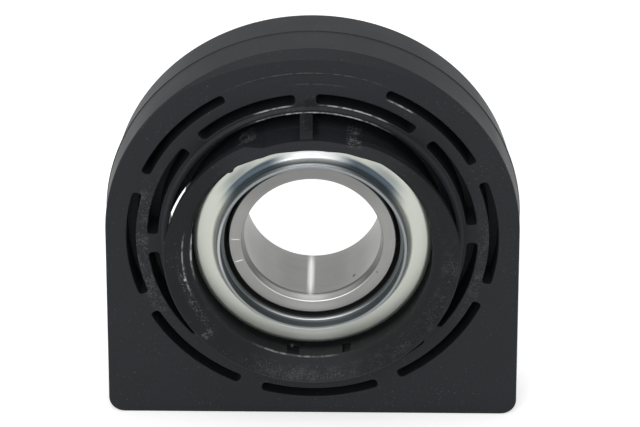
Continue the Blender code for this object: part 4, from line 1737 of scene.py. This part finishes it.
@dataclass
class Studio:
    """Floor, background, lights and the camera at the photograph's angle."""

    elevation: float = 30.36
    azimuth: float = 0.84
    distance: float = 2.5
    lens: float = 296.0
    sensor: float = 36.0
    target: tuple[float, float, float] = (3.57 * MM, -15.6 * MM, 110.08 * MM)
    world_level: float = 0.4
    lamps: tuple[Lamp, ...] = (
        Lamp("key_light", (0.2, -1.2, 2.2), 1.8, 1.4, 9.0),
        Lamp("fill_light", (-0.6, -2.3, 1.45), 1.6, 1.2, 24.0),
        Lamp("left_light", (-1.9, -0.1, 0.9), 1.2, 1.4, 9.0),
        Lamp("right_light", (1.9, 0.2, 0.9), 1.2, 1.4, 6.0),
        Lamp("back_light", (0.0, 1.0, 2.0), 1.2, 0.8, 6.0),
    )

    def floor(self) -> None:
        """Lay the pale floor."""
        bm = bmesh.new()
        bmesh.ops.create_grid(bm, x_segments=1, y_segments=1, size=6.0)
        item = Former.wrap("floor", bm)
        item.data.materials.append(Backdrop().material())

    def world(self) -> None:
        """Set the surroundings: plain white where they are seen or mirrored, dimmer as a light."""
        world = bpy.data.worlds.new("studio")
        bpy.context.scene.world = world
        world.use_nodes = True
        graph = Graph(world.node_tree)
        back = world.node_tree.nodes["Background"]
        back.inputs["Color"].default_value = (1.0, 1.0, 1.0, 1.0)
        level = graph.span(graph.white_to_eye(), 0.0, 1.0, self.world_level, 1.0, "LINEAR")
        graph.feed(back.inputs["Strength"], level)

    def light(self) -> None:
        """Hang the area lights."""
        for lamp in self.lamps:
            data = bpy.data.lights.new(lamp.name, "AREA")
            data.shape = "RECTANGLE"
            data.size, data.size_y = lamp.width, lamp.height
            data.energy = lamp.power
            item = bpy.data.objects.new(lamp.name, data)
            item.location = lamp.place
            aim = Vector(self.target) - Vector(lamp.place)
            item.rotation_euler = aim.to_track_quat("-Z", "Y").to_euler()
            bpy.context.scene.collection.objects.link(item)

    def camera(self) -> None:
        """Set the camera at the photograph's viewing angle."""
        data = bpy.data.cameras.new("camera")
        data.lens, data.sensor_width, data.clip_end = self.lens, self.sensor, 20.0
        item = bpy.data.objects.new("camera", data)
        bpy.context.scene.collection.objects.link(item)
        rise, turn = math.radians(self.elevation), math.radians(self.azimuth)
        back = Vector((math.sin(turn) * math.cos(rise), -math.cos(turn) * math.cos(rise), math.sin(rise)))
        right = Vector((math.cos(turn), math.sin(turn), 0.0))
        frame_matrix = Matrix((right, back.cross(right), back)).transposed().to_4x4()
        frame_matrix.translation = Vector(self.target) + back * self.distance
        item.matrix_world = frame_matrix
        bpy.context.scene.camera = item

    def build(self) -> None:
        """Set up the whole stage."""
        self.camera()
        self.floor()
        self.world()
        self.light()
        bpy.context.scene.view_settings.view_transform = "Standard"


# Dust and scuffs on the flange and between the slots, then the torn ends beside the opening.
RUBBER_ZONES = (
    WornZone(62.5, 2.6, 200.0, 26.0, -35.0, 3.0, 0.5, 1500.0),
    WornZone(66.0, 3.6, 221.0, 2.6, -34.6, 2.0, 1.1, 1500.0),
    WornZone(66.0, 6.0, 266.0, 34.0, -35.0, 3.0, 0.24, 1500.0),
    WornZone(66.0, 6.0, 330.0, 50.0, -35.0, 3.0, 0.15, 1300.0),
    WornZone(82.0, 5.0, 185.0, 38.0, -19.0, 1.5, 0.3, 1100.0),
    WornZone(82.0, 4.0, 350.0, 30.0, -19.0, 1.5, 0.2, 1100.0),
    WornZone(61.0, 5.0, 119.5, 5.0, -17.0, 8.0, 1.6, 1500.0),
    WornZone(64.5, 4.5, 71.5, 4.0, -24.0, 14.0, 1.6, 1500.0),
)

# Painted dark reflections on the neck and the annulus beside it, a painted dark line under the rim, and a
# stain smeared on the plate.
NECK_SHADES_AND_STAIN = (
    WornZone(50.5, 4.2, 135.0, 18.0, -21.7, 2.0, 0.5, softness=0.9),
    WornZone(50.5, 4.2, 45.0, 18.0, -21.7, 2.0, 0.5, softness=0.9),
    WornZone(47.2, 2.9, 54.0, 32.0, -23.0, 3.4, 0.95, softness=0.6),
    WornZone(47.2, 2.9, 126.0, 32.0, -23.0, 3.4, 0.95, softness=0.6),
    WornZone(45.4, 0.5, 90.0, 70.0, -24.7, 0.7, 0.85, softness=0.7),
    WornZone(45.2, 1.6, 237.5, 4.0, -22.0, 2.0, 0.4),
)

# Bright reflections on the annulus, the neck and its rim.
NECK_GLOWS = (
    WornZone(52.5, 4.0, 270.0, 24.0, -21.7, 2.0, 0.35, softness=0.8),
    WornZone(47.6, 3.6, 90.0, 27.0, -22.4, 3.0, 1.0, softness=0.8),
    WornZone(45.2, 0.5, 90.0, 38.0, -26.6, 1.9, 0.9, softness=0.8),
    WornZone(42.9, 0.8, 270.0, 48.0, -22.4, 1.3, 0.9, softness=0.8),
    WornZone(45.0, 0.5, 270.0, 42.0, -28.0, 0.5, 0.8, softness=0.8),
    WornZone(44.4, 0.9, 180.0, 28.0, -28.0, 0.8, 0.25, softness=0.8),
)

# Shaded parts of the lead-in, the bore and the face, with two small dark marks.
STEEL_DARKS = (
    WornZone(33.0, 0.9, 180.0, 76.0, -18.0, 3.2, 0.62, softness=0.3),
    WornZone(33.0, 0.9, 0.0, 76.0, -18.0, 3.2, 0.62, softness=0.3),
    WornZone(32.6, 0.5, 270.0, 179.0, -15.4, 0.5, 0.8, softness=0.6),
    WornZone(32.5, 1.0, 307.6, 2.0, -9.5, 1.6, 0.9),
    WornZone(35.3, 0.5, 330.9, 0.8, -20.5, 1.0, 0.9),
    WornZone(32.5, 0.6, 180.0, 64.0, 2.0, 20.0, 0.42, softness=0.8),
    WornZone(32.5, 0.6, 0.0, 64.0, 2.0, 20.0, 0.42, softness=0.8),
    WornZone(32.5, 0.6, 270.0, 40.0, 2.0, 20.0, 0.16, softness=0.5),
    WornZone(32.5, 0.6, 291.0, 12.0, -2.0, 13.0, 0.14, softness=0.5),
    WornZone(32.5, 0.6, 247.0, 7.0, -9.0, 7.0, 0.14, softness=0.5),
    WornZone(37.0, 4.0, 90.0, 70.0, -20.5, 1.0, 0.3, softness=0.5),
)

# Painted highlights on the face and lead-in, two cross marks, and a painted highlight streak along the bore.
STEEL_LIGHTS = (
    WornZone(37.0, 4.0, 270.0, 32.0, -20.5, 1.0, 0.16, softness=0.9),
    WornZone(33.2, 0.9, 268.0, 62.0, -18.2, 2.4, 0.5, softness=0.6),
    WornZone(33.7, 0.35, 268.0, 70.0, -20.3, 0.6, 0.9, softness=0.6),
    WornZone(36.6, 2.6, 179.5, 0.5, -20.5, 1.0, 0.7),
    WornZone(36.8, 2.6, 198.2, 0.6, -20.5, 1.0, 0.8),
    WornZone(32.5, 0.8, 268.2, 4.2, 2.0, 26.0, 0.8, softness=0.8),
    WornZone(32.5, 0.8, 268.2, 1.6, 2.0, 25.0, 0.95, softness=0.6),
)

# Painted shade, darker than the rest of the rubber: the flange's sides, the web's top, lip wall and gusset.
RUBBER_PAINTED_SHADE = (
    WornZone(65.0, 9.0, 190.0, 70.0, -34.5, 4.0, 0.95, softness=0.3),
    WornZone(65.0, 9.0, 350.0, 70.0, -34.5, 4.0, 1.0, softness=0.3),
    WornZone(71.0, 4.0, 90.0, 60.0, -19.5, 2.5, 0.25, softness=0.4),
    WornZone(57.6, 1.8, 270.0, 110.0, -26.5, 6.5, 1.0, softness=0.3),
    WornZone(68.0, 9.0, 90.0, 3.2, -22.5, 7.0, 0.75, softness=0.2),
    WornZone(99.0, 5.0, 91.5, 4.0, 9.0, 4.0, 0.7, softness=0.9),
    WornZone(99.0, 5.0, 74.0, 3.0, 7.0, 3.0, 0.6, softness=0.9),
)

# Thin pale lines where light catches the rubber's edges, and a glint by the left notch.
RUBBER_EDGE_HIGHLIGHTS = (
    WornZone(69.3, 0.6, 88.0, 33.0, -19.9, 1.2, 1.0),
    WornZone(72.85, 0.45, 104.8, 8.5, -18.9, 0.8, 0.8),
    WornZone(72.85, 0.45, 73.5, 15.5, -18.9, 0.8, 0.9),
    WornZone(83.55, 0.5, 60.0, 6.0, -18.9, 0.8, 0.6),
    WornZone(89.9, 0.35, 92.4, 28.0, -18.9, 1.2, 0.16, softness=0.5),
    WornZone(84.1, 0.4, 88.0, 12.0, -18.9, 0.8, 0.06),
    WornZone(57.4, 0.6, 178.0, 18.0, -33.2, 1.0, 0.7),
    WornZone(61.5, 0.5, 186.0, 19.0, -34.2, 1.2, 0.45),
    WornZone(61.9, 0.8, 193.3, 1.0, -34.2, 1.2, 1.0),
    WornZone(57.6, 1.4, 260.3, 0.6, -24.0, 2.4, 0.7),
    WornZone(57.2, 0.6, 262.0, 24.0, -33.2, 1.0, 0.4),
)


@dataclass
class Wardrobe:
    """All the finishes of the part, each built once as a material."""

    effects: Effects

    def __post_init__(self) -> None:
        """Build each material once."""
        made = self.effects
        self.rubber = RubberFinish("moulded_rubber", (0.0120, 0.0142, 0.0172), 0.5, 0.0, zones=RUBBER_ZONES,
                                   edges=RUBBER_EDGE_HIGHLIGHTS, deep=RUBBER_PAINTED_SHADE).material(made)
        self.zinc = ZincFinish("zinc_plated_sheet", (0.54, 0.565, 0.51), 0.42, 0.9, shades=NECK_SHADES_AND_STAIN,
                               glows=NECK_GLOWS).material(made)
        self.steel = GroundSteelFinish("ground_steel", (0.26, 0.26, 0.255), 0.34, 1.0, darks=STEEL_DARKS,
                                       lights=STEEL_LIGHTS).material(made)
        self.seal = PlainFinish("seal_rubber", (0.006, 0.006, 0.006), 0.6, 0.0, gloss=0.15).material(made)
        self.cage = PlainFinish("pressed_cage_steel", (0.42, 0.41, 0.39), 0.35, 1.0).material(made)
        self.ball = PlainFinish("polished_steel", (0.72, 0.72, 0.74), 0.1, 1.0, grain=300.0).material(made)


@dataclass(frozen=True)
class Fitting:
    """Where a finished piece belongs: its body, material, record slot and the nodes it stands for."""

    body: str
    material: bpy.types.Material
    slot: str
    nodes: tuple[str, ...]


def fit(piece: bpy.types.Object, fitting: Fitting) -> None:
    """Dress a piece, let it stand for its CAD nodes and ride on their body.

    Args:
        piece: The finished object.
        fitting: Its body, material, slot and nodes.
    """
    piece.data.materials.clear()
    piece.data.materials.append(fitting.material)
    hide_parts(*fitting.nodes)
    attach(piece, fitting.body)
    LOG.info("%s: %d faces on %s", piece.name, len(piece.data.polygons), fitting.body)


def dress_node(name: str, material: bpy.types.Material) -> None:
    """Give a CAD node that stays visible its finish.

    Args:
        name: The node's name.
        material: Its finish.
    """
    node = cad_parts[name]
    node.data.materials.clear()
    node.data.materials.append(material)
    LOG.info("%s keeps its CAD form", name)


def main() -> None:
    """Build the stage and every piece in order."""
    logging.basicConfig(level=logging.INFO, format="%(message)s")
    for item in [item for item in bpy.data.objects if item.type in ("CAMERA", "LIGHT")]:
        bpy.data.objects.remove(item)
    datum = Datum.read()
    Studio().build()
    finishes = Wardrobe(Effects(datum.axis_z))
    pattern = RingPattern()
    moulding = Fitting("mount", finishes.rubber, "cushion_rubber", ("rubber_cushion",))
    fit(Cushion(datum, pattern).build(), moulding)
    for side in Side:
        shell = Fitting("mount", finishes.zinc, "zinc_plate", (f"{side.word}_housing_shell",))
        fit(HousingShell(datum, side).build(), shell)
        seal = Fitting("mount", finishes.seal, "seal_rubber", (f"{side.word}_seal",))
        fit(Seal(datum, side).build(), seal)
    fit(InnerRing(datum).build(), Fitting("shaft_ring", finishes.steel, "ground_steel", ("inner_ring",)))
    rolling = RollingSet(datum, pattern)
    made = rolling.build()
    numbers = [f"{index + 1:02d}" for index in range(rolling.count)]
    balls = tuple(f"ball_{number}" for number in numbers)
    rivets = tuple(f"cage_rivet_{number}" for number in numbers)
    fit(made["balls"], Fitting("ball_cage", finishes.ball, "ball_steel", balls))
    fit(made["rivets"], Fitting("ball_cage", finishes.cage, "cage_steel", rivets))
    dress_node("outer_ring", finishes.steel)
    dress_node("cage_front", finishes.cage)
    dress_node("cage_rear", finishes.cage)


if __name__ == "__main__":
    main()
